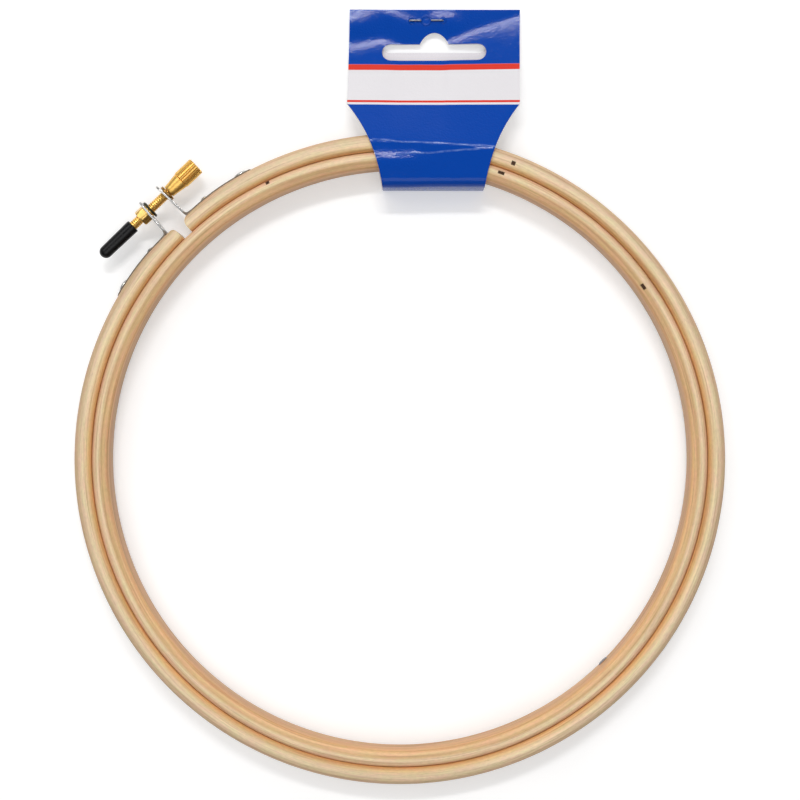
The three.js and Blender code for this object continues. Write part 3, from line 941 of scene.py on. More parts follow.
@dataclass(frozen=True)
class RubberFinish:
    """Glossy black dipped rubber with faint dust and dimples."""

    name: str = "dipped_rubber"
    shade: Shade = (8, 8, 10)
    dust_shade: Shade = (28, 28, 29)
    dust_scale: float = 1800.0
    dust_range: Pair = (0.5, 0.8)
    dust_share: float = 0.5
    gloss_scale: float = 700.0
    roughness: Pair = (0.22, 0.34)
    specular: float = 0.25
    dimple_scale: float = 900.0
    dimple_strength: float = 0.3
    dimple_depth: float = 0.05 * MM

    def material(self) -> Material:
        """Makes the material.

        Returns:
            The material.
        """
        material, nodes, shader = start_material(self.name)
        place = nodes.place()
        specks = nodes.noise(place, self.dust_scale, 4.0, 0.7)
        nodes.mottle(shader, nodes.spread(specks, *self.dust_range, 0.0, self.dust_share), self.shade,
                     self.dust_shade)
        gloss = nodes.noise(place, self.gloss_scale)
        nodes.feed(shader.inputs["Roughness"], nodes.swing(gloss, *self.roughness))
        shader.inputs["Specular IOR Level"].default_value = self.specular
        dimples = nodes.noise(place, self.dimple_scale, 2.0)
        nodes.bump(shader, dimples, self.dimple_strength, self.dimple_depth)
        return material


@dataclass(frozen=True)
class PlainCardFinish:
    """Uncoated white card: the inner side and the cut edges."""

    name: str
    shade: Shade
    fibre_shade: Shade
    fibre_range: Pair = (0.4, 0.75)
    fibre_strength: float = 0.3
    fibre_depth: float = 0.03 * MM
    roughness: float = 0.8

    def material(self, groups: Groups) -> Material:
        """Makes the material, with paper fibre in its colour and height.

        Args:
            groups: Shared node groups.

        Returns:
            The material.
        """
        material, nodes, shader = start_material(self.name)
        fibre = nodes.group(groups.card, Place=nodes.place()).outputs["Fibre"]
        nodes.mottle(shader, nodes.spread(fibre, *self.fibre_range), self.shade, self.fibre_shade)
        shader.inputs["Roughness"].default_value = self.roughness
        nodes.bump(shader, fibre, self.fibre_strength, self.fibre_depth)
        return material


@dataclass(frozen=True)
class Crease:
    """A lighter line where the card is creased, in the card's own plan: rubbed ink with a painted
    highlight.

    Attributes:
        left: Place of its left end, from the card's middle and the hoops' axis.
        right: Place of its right end.
    """

    left: Pair
    right: Pair


@dataclass(frozen=True)
class PrintedCardFinish:
    """Coated card printed blue, with a white band between red lines."""

    name: str
    blue: Shade = (0, 68, 170)
    dark_ink: float = 0.86
    ink_range: Pair = (0.35, 0.7)
    ink_share: float = 0.25
    red: Shade = (224, 62, 48)
    white: Shade = (231, 228, 231)
    wide_line: Pair = (16.65 * MM, 18.43 * MM)
    thin_line: Pair = (28.05 * MM, 28.74 * MM)
    white_end: float = 29.43 * MM
    print_edge: float = 0.06 * MM
    print_wander: float = 0.12 * MM
    wave_scale: float = 85.0
    wave_height: float = 0.9
    peel_height: float = 0.24
    crease_width: float = 0.4 * MM
    crease_height: float = 0.2
    crease_scale: float = 150.0
    crease_wander: float = 1.3 * MM
    # Lighter blue of the creases: rubbed ink and a painted highlight along the bend.
    crease_rub_and_highlight_shade: Shade = (120, 150, 212)
    rub_and_glint_scale: float = 500.0
    rub_and_glint_range: Pair = (0.35, 0.65)
    rub_and_glint_share: Pair = (0.15, 0.75)
    dent_edge: float = 0.4 * MM
    dent_lip: float = 2.2
    roughness: Pair = (0.1, 0.16)
    specular: float = 0.2
    surface_strength: float = 0.5
    surface_depth: float = 0.35 * MM

    def material(self, groups: Groups, top: float, creases: Sequence[tuple[Vector, Vector]] = (),
                 dents: Sequence[tuple[Vector, float]] = ()) -> Material:
        """Makes the material for one panel.

        Args:
            groups: Shared node groups.
            top: Height of the card's top edge in plan, in the frame.
            creases: Ends of each light crease, in the frame's plan.
            dents: Middle of each round dent, in the frame's plan, and the radius of its raised edge.

        Returns:
            The material.
        """
        material, nodes, shader = start_material(self.name)
        place = nodes.place()
        surface = nodes.group(groups.card, Place=place, Wave_Scale=self.wave_scale)
        peel = surface.outputs["Peel"]
        ink = self.print_ink(nodes, place, surface, top)
        height = nodes.weighted(surface.outputs["Waves"], self.wave_height, peel, self.peel_height)
        # Each crease is painted a lighter blue, partly rubbed ink and partly a painted highlight.
        for left, right in creases:
            crease_rub_and_glint = self.crease_line(nodes, place, left, right)
            patchy_rub_and_glint = nodes.spread(nodes.noise(place, self.rub_and_glint_scale), *self.rub_and_glint_range, *self.rub_and_glint_share)
            ink = nodes.mix(nodes.maths("MULTIPLY", crease_rub_and_glint, patchy_rub_and_glint), ink, colour(*self.crease_rub_and_highlight_shade))
            height = nodes.maths("ADD", height, nodes.maths("MULTIPLY", crease_rub_and_glint, self.crease_height))
        for middle, radius in dents:
            away = nodes.add("ShaderNodeVectorMath", {0: place, 1: middle}, operation="DISTANCE")
            off = nodes.maths("ABSOLUTE", nodes.maths("SUBTRACT", away.outputs["Value"], radius))
            lip = nodes.spread(off, 0.0, self.dent_edge, self.dent_lip, 0.0, smooth=True)
            height = nodes.maths("ADD", height, lip)
        nodes.feed(shader.inputs["Base Color"], ink)
        nodes.feed(shader.inputs["Roughness"], nodes.swing(peel, *self.roughness))
        shader.inputs["Specular IOR Level"].default_value = self.specular
        nodes.bump(shader, height, self.surface_strength, self.surface_depth)
        return material

    def print_ink(self, nodes: NodeTree, place: Socket, surface: Node, top: float) -> Socket:
        """Prints the blue, the white band and the red lines.

        Args:
            nodes: The material's tree.
            place: Place on the card.
            surface: The card's surface, a group node.
            top: Height of the card's top edge in plan, in the frame.

        Returns:
            Colour of the print.
        """
        reach = nodes.add("ShaderNodeSeparateXYZ", {0: place}).outputs["Y"]
        wander = nodes.sway(surface.outputs["Waves"], self.print_wander)
        below = nodes.maths("ADD", nodes.maths("SUBTRACT", top, reach), wander)
        fibre = nodes.spread(surface.outputs["Fibre"], *self.ink_range, 0.0, self.ink_share)
        dark = colour(*(self.dark_ink * channel for channel in self.blue))
        ink = nodes.mix(fibre, colour(*self.blue), dark)
        bands = (((self.wide_line[0], self.white_end), self.white),
                 (self.wide_line, self.red), (self.thin_line, self.red))
        for (start, end), shade in bands:
            after = nodes.spread(below, start - self.print_edge, start + self.print_edge)
            before = nodes.spread(below, end - self.print_edge, end + self.print_edge, 1.0, 0.0)
            ink = nodes.mix(nodes.maths("MULTIPLY", after, before), ink, colour(*shade))
        return ink

    def crease_line(self, nodes: NodeTree, place: Socket, left: Vector, right: Vector) -> Socket:
        """Marks the uneven line of a crease.

        Args:
            nodes: The material's tree.
            place: Place on the card.
            left: Left end of the crease, in the frame's plan.
            right: Its right end.

        Returns:
            1 on the crease's line, falling to 0 beside it.
        """
        axes = nodes.add("ShaderNodeSeparateXYZ", {0: place}).outputs
        along = nodes.spread(axes["X"], left.x, right.x)
        line = nodes.maths("ADD", nodes.maths("MULTIPLY", along, right.y - left.y), left.y)
        uneven = nodes.sway(nodes.noise(place, self.crease_scale, 1.0), self.crease_wander)
        off = nodes.maths("ABSOLUTE", nodes.maths("SUBTRACT", axes["Y"], nodes.maths("ADD", line, uneven)))
        inside = nodes.maths("MULTIPLY", nodes.maths("GREATER_THAN", axes["X"], left.x),
                             nodes.maths("LESS_THAN", axes["X"], right.x))
        return nodes.maths("MULTIPLY", nodes.spread(off, 0.0, self.crease_width, 1.0, 0.0), inside)


BRASS = MetalFinish("turned_brass", (240, 194, 106), (228, 178, 92), (0.34, 0.4),
                    (1500.0, 1500.0, 1500.0), mark_depth=0.0004 * MM)
NUT_BRASS = MetalFinish("nut_brass", (236, 196, 116), (204, 164, 90), (0.24, 0.34),
                        (2200.0, 2200.0, 600.0))
# Painted shade: a darker copy of the brass, for the washer.
SHADED_WASHER_BRASS = MetalFinish("washer_brass_painted_shade", (168, 128, 70), (120, 92, 50), (0.26, 0.4))
# Painted shade: a dark copy of the nut's brass, for the collar on the lug's inner side.
SHADED_COLLAR_BRASS = MetalFinish("collar_brass_painted_shade", (66, 64, 48), (40, 39, 31), (0.28, 0.44))
STRIP_STEEL = MetalFinish("plated_strip", (198, 197, 196), (164, 162, 159), (0.2, 0.36),
                          (700.0, 700.0, 3200.0))
# Painted shade: a darker copy of the strip's steel, for the legs.
SHADED_LEG_STEEL = MetalFinish("plated_strip_leg", (132, 122, 110), (98, 90, 81), (0.3, 0.5),
                        (700.0, 700.0, 3200.0))
RIVET_STEEL = MetalFinish("plated_rivet", (202, 202, 198), (150, 148, 142), (0.18, 0.34))
STAPLE_STEEL = MetalFinish("staple_steel", (156, 157, 162), (112, 112, 118), (0.42, 0.58))
INNER_CARD = PlainCardFinish("card_inner_side", (240, 236, 240), (226, 222, 228))
CUT_EDGE = PlainCardFinish("card_cut_edge", (222, 220, 226), (196, 194, 202))
# Tones round the inner rim's section: the beech's colour with painted light and shade, lightest on the
# front face, darker on the walls.
INNER_WOOD = WoodFinish("inner_rim_beech", (
    Tone(Stretch.BACK_OUTER_EDGE, 0.0, (206, 168, 126)),
    Tone(Stretch.OUTER_WALL, 0.5, (200, 156, 112)),
    Tone(Stretch.FRONT_OUTER_EDGE, 0.15, (214, 162, 112)),
    Tone(Stretch.FRONT_OUTER_EDGE, 0.5, (223, 181, 147)),
    Tone(Stretch.FRONT_OUTER_EDGE, 0.85, (231, 198, 161)),
    Tone(Stretch.FRONT_FACE, 0.5, (241, 217, 180)),
    Tone(Stretch.FRONT_INNER_EDGE, 0.16, (214, 175, 127)),
    Tone(Stretch.FRONT_INNER_EDGE, 0.47, (238, 196, 150)),
    Tone(Stretch.FRONT_INNER_EDGE, 0.72, (235, 185, 130)),
    Tone(Stretch.INNER_WALL, 0.3, (218, 167, 118)),
    Tone(Stretch.INNER_WALL, 0.95, (208, 166, 128)),
    Tone(Stretch.BACK_FACE, 0.5, (208, 170, 130)),
))
# Tones round the outer rim's section: the beech's colour with painted light and shade, lightest on the
# front face, darker on the walls.
OUTER_WOOD = WoodFinish("outer_rim_beech", (
    Tone(Stretch.BACK_OUTER_EDGE, 0.0, (206, 170, 130)),
    Tone(Stretch.OUTER_WALL, 0.3, (207, 174, 140)),
    Tone(Stretch.OUTER_WALL, 0.9, (205, 174, 142)),
    Tone(Stretch.FRONT_OUTER_EDGE, 0.5, (209, 177, 142)),
    Tone(Stretch.FRONT_OUTER_EDGE, 0.9, (226, 201, 168)),
    Tone(Stretch.FRONT_FACE, 0.4, (244, 220, 185)),
    Tone(Stretch.FRONT_INNER_EDGE, 0.05, (230, 198, 152)),
    Tone(Stretch.FRONT_INNER_EDGE, 0.3, (226, 181, 126)),
    Tone(Stretch.FRONT_INNER_EDGE, 0.75, (232, 180, 122)),
    Tone(Stretch.INNER_WALL, 0.05, (206, 152, 100)),
    Tone(Stretch.INNER_WALL, 0.95, (190, 142, 96)),
    Tone(Stretch.BACK_FACE, 0.5, (208, 170, 130)),
))


# Wooden rims


@dataclass(frozen=True)
class PinMark:
    """A small dark rectangular mark pressed into the front of a rim.

    Attributes:
        angle: Its place round the hoops, in degrees from the frame's X.
        radius: Its distance from the hoops' axis.
        along: Its size along the rim.
        across: Its size across the rim.
        depth: Its depth.
    """

    angle: float
    radius: float
    along: float
    across: float
    depth: float = 0.45 * MM


@dataclass
class WoodenRim:
    """What both hoops share: a strip of wood bent round, with its section, marks and finish."""

    places: HoopPlaces
    section: RimSection
    finish: WoodFinish
    marks: tuple[PinMark, ...]
    steps: int = 360
    mark_margin: float = 3 * MM
    end_limits: Pair = (0.3, 0.5)
    end_grain: Pair = (0.1, 6.0)

    def bend_strip(self, start: float, sweep: float) -> tuple[BMesh, BMLayerItem]:
        """Bends the strip round the hoops' axis, in the clamp's axes.

        Args:
            start: Angle of its first end.
            sweep: How far it goes round.

        Returns:
            The mesh, and the layer with each point's way round the section.
        """
        bm = bmesh.new()
        layer = self.section.draw(bm)
        bmesh.ops.rotate(bm, verts=bm.verts, cent=(0, 0, 0), matrix=Matrix.Rotation(start, 3, "Z"))
        bmesh.ops.spin(bm, geom=list(bm.verts) + list(bm.edges), cent=(0, 0, 0), axis=(0, 0, 1),
                       angle=sweep, steps=self.steps, use_merge=sweep >= FULL_TURN)
        bmesh.ops.recalc_face_normals(bm, faces=bm.faces)
        return bm, layer

    def front_faces(self, bm: BMesh, mark: PinMark, margin: float) -> list[BMFace]:
        """Finds the front faces round a pin mark.

        Args:
            bm: The bent strip.
            mark: The mark.
            margin: How far outside the mark a face's middle may lie.

        Returns:
            The faces.
        """
        out, along = round_axes(self.places.local_angle(mark.angle))
        middle = out * mark.radius
        found = []
        for face in bm.faces:
            offset = face.calc_center_median() - middle
            if (face.normal.z > FRONT_FACING and abs(offset.dot(along)) < mark.along / 2 + margin
                    and abs(offset.dot(out)) < mark.across / 2 + margin):
                found.append(face)
        return found

    def press_marks(self, bm: BMesh) -> None:
        """Presses the pin marks into the front, as recesses with their own dark material.

        Args:
            bm: The bent strip.
        """
        for mark in self.marks:
            out, along = round_axes(self.places.local_angle(mark.angle))
            for axis, size in ((along, mark.along), (out, mark.across)):
                for sign in (-1, 1):
                    faces = self.front_faces(bm, mark, self.mark_margin)
                    cut_through(bm, faces, out * mark.radius + axis * sign * size / 2, axis)
            floor = self.front_faces(bm, mark, -SAME_POINT)
            made = bmesh.ops.extrude_face_region(bm, geom=floor)["geom"]
            bmesh.ops.delete(bm, geom=floor, context="FACES_ONLY")
            bmesh.ops.translate(bm, verts=only(BMVert, made), vec=(0, 0, -mark.depth))
            for face in only(BMFace, made):
                face.material_index = 1
                for side in (side for edge in face.edges for side in edge.link_faces):
                    if abs(side.normal.z) < STEEP or side in made:
                        side.material_index = 1

    def lay_strip(self, bm: BMesh, layer: BMLayerItem, start: float) -> None:
        """Lays the strip's own map: along the strip, and round its section, in metres.

        Args:
            bm: The bent strip.
            layer: The layer with each point's way round the section.
            start: Angle of the strip's first end.
        """
        chart = bm.loops.layers.uv.new("strip")
        girth = sum(self.section.lengths)
        middle = (self.section.inside + self.section.outside) / 2
        front = self.section.share_at(Stretch.FRONT_FACE, 0.5) * girth
        squeezed, drawn = self.end_grain
        for face in bm.faces:
            centre = face.calc_center_median()
            whole = (math.atan2(centre.y, centre.x) - start) % FULL_TURN
            high = max(vert[layer] for vert in face.verts)
            radial = Vector((centre.x, centre.y, 0)).normalized()
            end_face = (abs(face.normal.z) < self.end_limits[0]
                        and abs(face.normal.dot(radial)) < self.end_limits[1])
            for loop in face.loops:
                point = loop.vert.co
                turn = math.atan2(point.y, point.x) - start
                turn = whole + (turn - whole + math.pi) % FULL_TURN - math.pi
                way = loop.vert[layer]
                if high - way > girth / 2:
                    way += girth
                if end_face:
                    way = front + squeezed * (point.xy.length - middle)
                    turn += drawn * point.z / middle
                loop[chart].uv = (turn * middle, way)


@dataclass
class InnerHoop(WoodenRim):
    """The closed inner hoop and the wire staple that holds its lap."""

    lap_angle: float = -45.0
    staple_crown: float = 3 * MM
    staple_leg: float = 2.6 * MM
    staple_wire: float = 0.3 * MM
    staple_proud: float = 0.5 * MM

    @classmethod
    def read(cls, places: HoopPlaces) -> "InnerHoop":
        """Reads the hoop's size from its CAD node.

        Args:
            places: Places that the pieces share.

        Returns:
            The hoop.
        """
        low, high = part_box("inner_hoop")
        outside = (high.x - low.x) / 2
        section = RimSection(inside=outside - 4.5 * MM, outside=outside, back=low.z, front=high.z,
                             inner_round=2.2 * MM, outer_round=1.5 * MM)
        marks = (PinMark(70.5, 87.4 * MM, 1.9 * MM, 0.9 * MM), PinMark(35.3, 85.9 * MM, 1.8 * MM, 0.9 * MM),
                 PinMark(115.6, 88.2 * MM, 1.1 * MM, 0.9 * MM))
        return cls(places, section, INNER_WOOD, marks)

    def build(self, groups: Groups) -> None:
        """Builds the ring and its staple, and puts them on the inner ring's body.

        Args:
            groups: Shared node groups.
        """
        start = self.places.local_angle(self.lap_angle)
        bm, layer = self.bend_strip(start, FULL_TURN)
        self.press_marks(bm)
        self.lay_strip(bm, layer, start)
        woods = [self.finish.material(groups, self.section), MarkFinish().material()]
        ring = make_piece("inner_hoop_rim", bm, woods, self.places.clamp)
        settle(ring, Body.INNER, Slot.INNER_WOOD, "inner_hoop")
        self.build_staple(groups)

    def build_staple(self, groups: Groups) -> None:
        """Builds the staple, crown along the inner wall and legs in the wood.

        Args:
            groups: Shared node groups.
        """
        low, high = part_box("inner_hoop_staple")
        out, along = round_axes(math.radians(self.lap_angle))
        bend = 2 * self.staple_wire
        leg = self.staple_leg - self.staple_wire - bend
        half = self.staple_crown / 2
        wall = math.sqrt(self.section.inside ** 2 - half ** 2)
        start = self.places.centre + out * (wall + self.staple_leg - self.staple_proud) - along * half
        start.z = (low.z + high.z) / 2
        wire = BentWire(start, -out, self.staple_wire).straight(leg).bend(along, bend)
        wire.straight(self.staple_crown - 2 * bend).bend(out, bend).straight(leg)
        staple = make_piece("lap_staple_wire", wire.end(), [STAPLE_STEEL.material(groups)])
        settle(staple, Body.INNER, Slot.WIRE, "inner_hoop_staple")


@dataclass
class OuterHoop(WoodenRim):
    """The split outer hoop: one strip that opens at the clamp and flexes opposite it."""

    split_half: float = 1.55 * MM
    split_shift: float = 0.3 * MM
    split_open: float = 0.3
    left_round: float = 2.2 * MM
    right_round: float = 3.2 * MM
    corner_steps: int = 6
    end_zone: float = 8 * MM
    flex_half: float = 1.2 * MM

    @classmethod
    def read(cls, places: HoopPlaces) -> "OuterHoop":
        """Reads the hoop's inside and depth from the inner hoop's CAD node.

        Args:
            places: Places that the pieces share.

        Returns:
            The hoop.
        """
        inner_low, inner_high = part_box("inner_hoop")
        gap = 0.06 * MM
        section = RimSection(inside=(inner_high.x - inner_low.x) / 2 + gap, outside=94.2 * MM,
                             back=inner_low.z, front=inner_high.z, inner_round=1.4 * MM,
                             outer_round=2.4 * MM)
        return cls(places, section, OUTER_WOOD, (PinMark(69.0, 91.2 * MM, 1.2 * MM, 1.2 * MM),))

    def at_end(self, point: Vector, sign: int) -> bool:
        """Tells whether a point is near one of the strip's ends."""
        return point.y > 0 and 0 < sign * point.x < self.end_zone

    def round_ends(self, bm: BMesh) -> None:
        """Cuts both ends of the strip square to the screw, with round outer corners.

        Args:
            bm: The bent strip.
        """
        for side, radius in ((Side.RIGHT, self.right_round), (Side.LEFT, self.left_round)):
            sign = side.value
            pivot = Vector((sign * (self.split_half + radius) + self.split_shift,
                            self.section.outside - radius, 0))
            for step in range(self.corner_steps + 1):
                angle = QUARTER_TURN * step / (self.corner_steps + 0.5)
                normal = Vector((-sign * math.cos(angle), math.sin(angle), 0))
                faces = [face for face in bm.faces if self.at_end(face.calc_center_median(), sign)]
                cut_through(bm, faces, pivot + normal * radius, normal, clear=True)
                rim = [edge for edge in bm.edges
                       if edge.is_boundary and self.at_end(edge.verts[0].co, sign)]
                bmesh.ops.holes_fill(bm, edges=rim, sides=0)

    def pare_ends(self, bm: BMesh) -> None:
        """Pares the outer wall down towards both ends, under the brackets' legs.

        Args:
            bm: The bent strip.
        """
        depth = self.section.outside - self.section.inside
        for vert in bm.verts:
            if vert.co.y > 0:
                reach = vert.co.xy.length
                share = (reach - self.section.inside) / depth
                vert.co.xy *= 1 - share * self.places.paring(vert.co.x) / reach

    def build(self, groups: Groups) -> None:
        """Builds the strip, cut open at the split, and hides the two arms' CAD nodes.

        Args:
            groups: Shared node groups.
        """
        start = QUARTER_TURN + self.split_open * self.split_half / self.section.inside
        bm, layer = self.bend_strip(start, FULL_TURN - 2 * (start - QUARTER_TURN))
        self.round_ends(bm)
        bmesh.ops.recalc_face_normals(bm, faces=bm.faces)
        self.press_marks(bm)
        self.lay_strip(bm, layer, start)
        self.pare_ends(bm)
        woods = [self.finish.material(groups, self.section), MarkFinish("outer_mark_wood").material()]
        rim = make_piece("outer_hoop_rim", bm, woods, self.places.clamp)
        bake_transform(rim)
        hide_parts("outer_hoop_right_arm", "outer_hoop_left_arm")
        LOG.info("%s bends between %s and %s", rim.name, Body.OUTER.value, Body.ARM.value)


# Screw clamp


@dataclass(frozen=True)
class RivetHead:
    """Place and size of a domed rivet's head."""

    reach: float
    diameter: float
    height: float


@dataclass
class Bracket:
    """One bent steel strip of the clamp, with its two rivets."""

    places: HoopPlaces
    side: Side
    hole: float
    seat: float = 93.98 * MM
    thickness: float = 0.62 * MM
    leg_share: float = 0.55
    width: float = 6.6 * MM
    bend: float = 1 * MM
    corner: float = 2.4 * MM
    leg_corner: float = 1.4 * MM
    lug_inside: float = 3.1 * MM
    splay: Pair = (-0.12 * MM, 0.55 * MM)
    lug_reach: float = 106.2 * MM
    leg_length: float = 21.7 * MM
    near_rivet: RivetHead = RivetHead(5.7 * MM, 2.6 * MM, 1.1 * MM)
    far_rivet: RivetHead = RivetHead(3.4 * MM, 4.6 * MM, 1.15 * MM)
    shank: float = 1.4 * MM
    shank_depth: float = 3.2 * MM
    rivet_rim: float = 0.25
    rivet_foot: float = 0.97
    bend_steps: int = 10
    leg_steps: int = 18
    corner_steps: int = 6
    dome_steps: int = 8
    round_steps: int = 32
    edge_round: float = 0.12 * MM
    edge_angle: float = math.radians(50)

    @property
    def name(self) -> str:
        """The side's name, as in the CAD nodes' names."""
        return self.side.name.lower()

    @property
    def body(self) -> Body:
        """The body that the bracket's arm belongs to."""
        return Body.OUTER if self.side is Side.RIGHT else Body.ARM

    @property
    def top(self) -> float:
        """Radius of the strip's outer face on the leg."""
        return self.seat + self.thickness

    @property
    def face(self) -> float:
        """Radius of the leg's outer face, where the strip is thinned."""
        return self.seat + self.thickness * (1 + self.leg_share) / 2

    @property
    def bend_middle(self) -> Vector:
        """Middle of the bend from lug to leg, on the right side."""
        along = self.lug_inside + self.splay[1] + self.thickness + self.bend
        return Vector((along, math.sqrt((self.top + self.bend) ** 2 - along ** 2), 0))

    @property
    def leg_start(self) -> float:
        """Angle round the hoops at which the leg leaves the bend."""
        return math.atan2(self.bend_middle.y, self.bend_middle.x)

    @property
    def leg_sweep(self) -> float:
        """Angle that the leg takes up round the hoops."""
        return self.leg_length / self.top + math.radians(0.12)

    def build(self, groups: Groups) -> None:
        """Builds the strip and its rivets.

        Args:
            groups: Shared node groups.
        """
        self.build_strip(groups)
        steel = RIVET_STEEL.material(groups)
        near = self.leg_start - self.near_rivet.reach / self.top
        far = self.leg_start - self.leg_sweep + self.far_rivet.reach / self.top
        self.build_rivet("near", near, self.near_rivet, steel)
        self.build_rivet("far", far, self.far_rivet, steel)

    def draw_sheet(self) -> BMesh:
        """Draws the strip's middle line, widens it, rounds its corners and makes the screw's hole.

        Returns:
            The strip's middle sheet, for the right side.
        """
        bm = bmesh.new()
        bm.verts.layers.deform.verify()
        low = self.places.axis_height - self.width / 2
        middle = self.lug_inside + self.thickness / 2
        pivot = self.bend_middle + Vector((0, 0, low))
        start, end = self.splay
        tip = bm.verts.new((middle + start, self.lug_reach, low))
        foot = only(BMVert, bmesh.ops.extrude_vert_indiv(bm, verts=[tip])["verts"])
        bmesh.ops.translate(bm, verts=foot, vec=(end - start, pivot.y - self.lug_reach, 0))
        bent = bmesh.ops.spin(bm, geom=foot, cent=pivot, axis=(0, 0, 1), angle=self.leg_start,
                              steps=self.bend_steps)
        last = only(BMVert, bent["geom_last"])
        bmesh.ops.spin(bm, geom=last, cent=(0, 0, low), axis=(0, 0, 1), angle=-self.leg_sweep,
                       steps=self.leg_steps)
        made = bmesh.ops.extrude_edge_only(bm, edges=list(bm.edges))["geom"]
        bmesh.ops.translate(bm, verts=only(BMVert, made), vec=(0, 0, self.width))
        leg_end = min(vert.co.y for vert in bm.verts)
        for reach, size in ((self.lug_reach, self.corner), (leg_end, self.leg_corner)):
            ends = [vert for vert in bm.verts if abs(vert.co.y - reach) < SAME_POINT]
            bmesh.ops.bevel(bm, geom=ends, offset=size, offset_type="OFFSET", affect="VERTICES",
                            segments=self.corner_steps, profile=0.5, material=-1)
        self.cut_hole(bm)
        return bm

    def build_strip(self, groups: Groups) -> None:
        """Lays the strip on the pared rim, thins its leg and puts it on its arm's body.

        Args:
            groups: Shared node groups.
        """
        bm = self.draw_sheet()
        weight = bm.verts.layers.deform.verify()
        for vert in bm.verts:
            vert[weight][0] = float(vert.co.x < self.bend_middle.x)
            if vert.co.y < self.bend_middle.y + SAME_POINT:
                vert.co.xy *= 1 - self.places.paring(vert.co.x) / vert.co.xy.length
        bmesh.ops.scale(bm, verts=bm.verts, vec=(self.side.value, 1, 1))
        bmesh.ops.recalc_face_normals(bm, faces=bm.faces)
        # The leg's faces take the second material, the strip steel's painted shade.
        for face in bm.faces:
            face.material_index = int(face.calc_center_median().y < self.top + self.bend)
        steels = [STRIP_STEEL.material(groups), SHADED_LEG_STEEL.material(groups)]
        strip = make_piece(f"{self.name}_bracket_strip", bm, steels, self.places.clamp, closed=False)
        wall = add_wall(strip, "wall", self.thickness)
        wall.vertex_group = strip.vertex_groups.new(name="lug").name
        wall.thickness_vertex_group = self.leg_share
        edge = strip.modifiers.new("edge", "BEVEL")
        edge.width, edge.segments, edge.limit_method = self.edge_round, 2, "ANGLE"
        edge.angle_limit, edge.harden_normals = self.edge_angle, True
        settle(strip, self.body, Slot.BRACKET, f"{self.name}_bracket")

    def cut_hole(self, bm: BMesh) -> None:
        """Makes the screw's hole in the flat of the lug.

        Args:
            bm: The strip's middle sheet.
        """
        bm.normal_update()
        upright = [face for face in bm.faces if abs(face.normal.x) > UPRIGHT]
        lug = max(upright, key=lambda face: face.calc_area())
        rim = list(lug.edges)
        reach = Vector((0, self.places.axis_reach, self.places.axis_height))
        middle = (lug.calc_center_median() - reach).dot(lug.normal) / lug.normal.x
        turn = lug.normal.to_track_quat("Z", "Y").to_matrix().to_4x4()
        place = Matrix.Translation(reach + Vector((middle, 0, 0))) @ turn
        made = bmesh.ops.create_circle(bm, segments=self.round_steps, radius=self.hole / 2, matrix=place)
        hole = list({edge for vert in made["verts"] for edge in vert.link_edges})
        bmesh.ops.delete(bm, geom=[lug], context="FACES_ONLY")
        bmesh.ops.triangle_fill(bm, use_beauty=True, use_dissolve=False, edges=rim + hole)

    def build_rivet(self, place: str, angle: float, head: RivetHead, steel: Material) -> None:
        """Builds a domed rivet on the leg.

        Args:
            place: "near" or "far", from the bend.
            angle: Its angle round the hoops, on the right side.
            head: Its head.
            steel: Its material.
        """
        radius = head.diameter / 2
        rim = self.rivet_rim * head.height
        face = self.face - self.places.paring(self.face * math.cos(angle))
        dome = [(face + rim + (head.height - rim) * math.sin(a), radius * math.cos(a))
                for a in (QUARTER_TURN * step / self.dome_steps for step in range(self.dome_steps))]
        root = face - self.shank_depth
        profile = [(root, 0), (root, self.shank / 2), (face, self.shank / 2),
                   (face, self.rivet_foot * radius), *dome, (face + head.height, 0)]
        bm = turn_profile(profile, self.round_steps)
        turn = angle if self.side is Side.RIGHT else math.pi - angle
        rise = Matrix.Translation((0, 0, self.places.axis_height))
        rivet = make_piece(f"{self.name}_{place}_rivet_head", bm, [steel],
                           self.places.clamp @ rise @ Matrix.Rotation(turn, 4, "Z"))
        settle(rivet, self.body, Slot.RIVET, f"{self.name}_bracket_{place}_rivet")


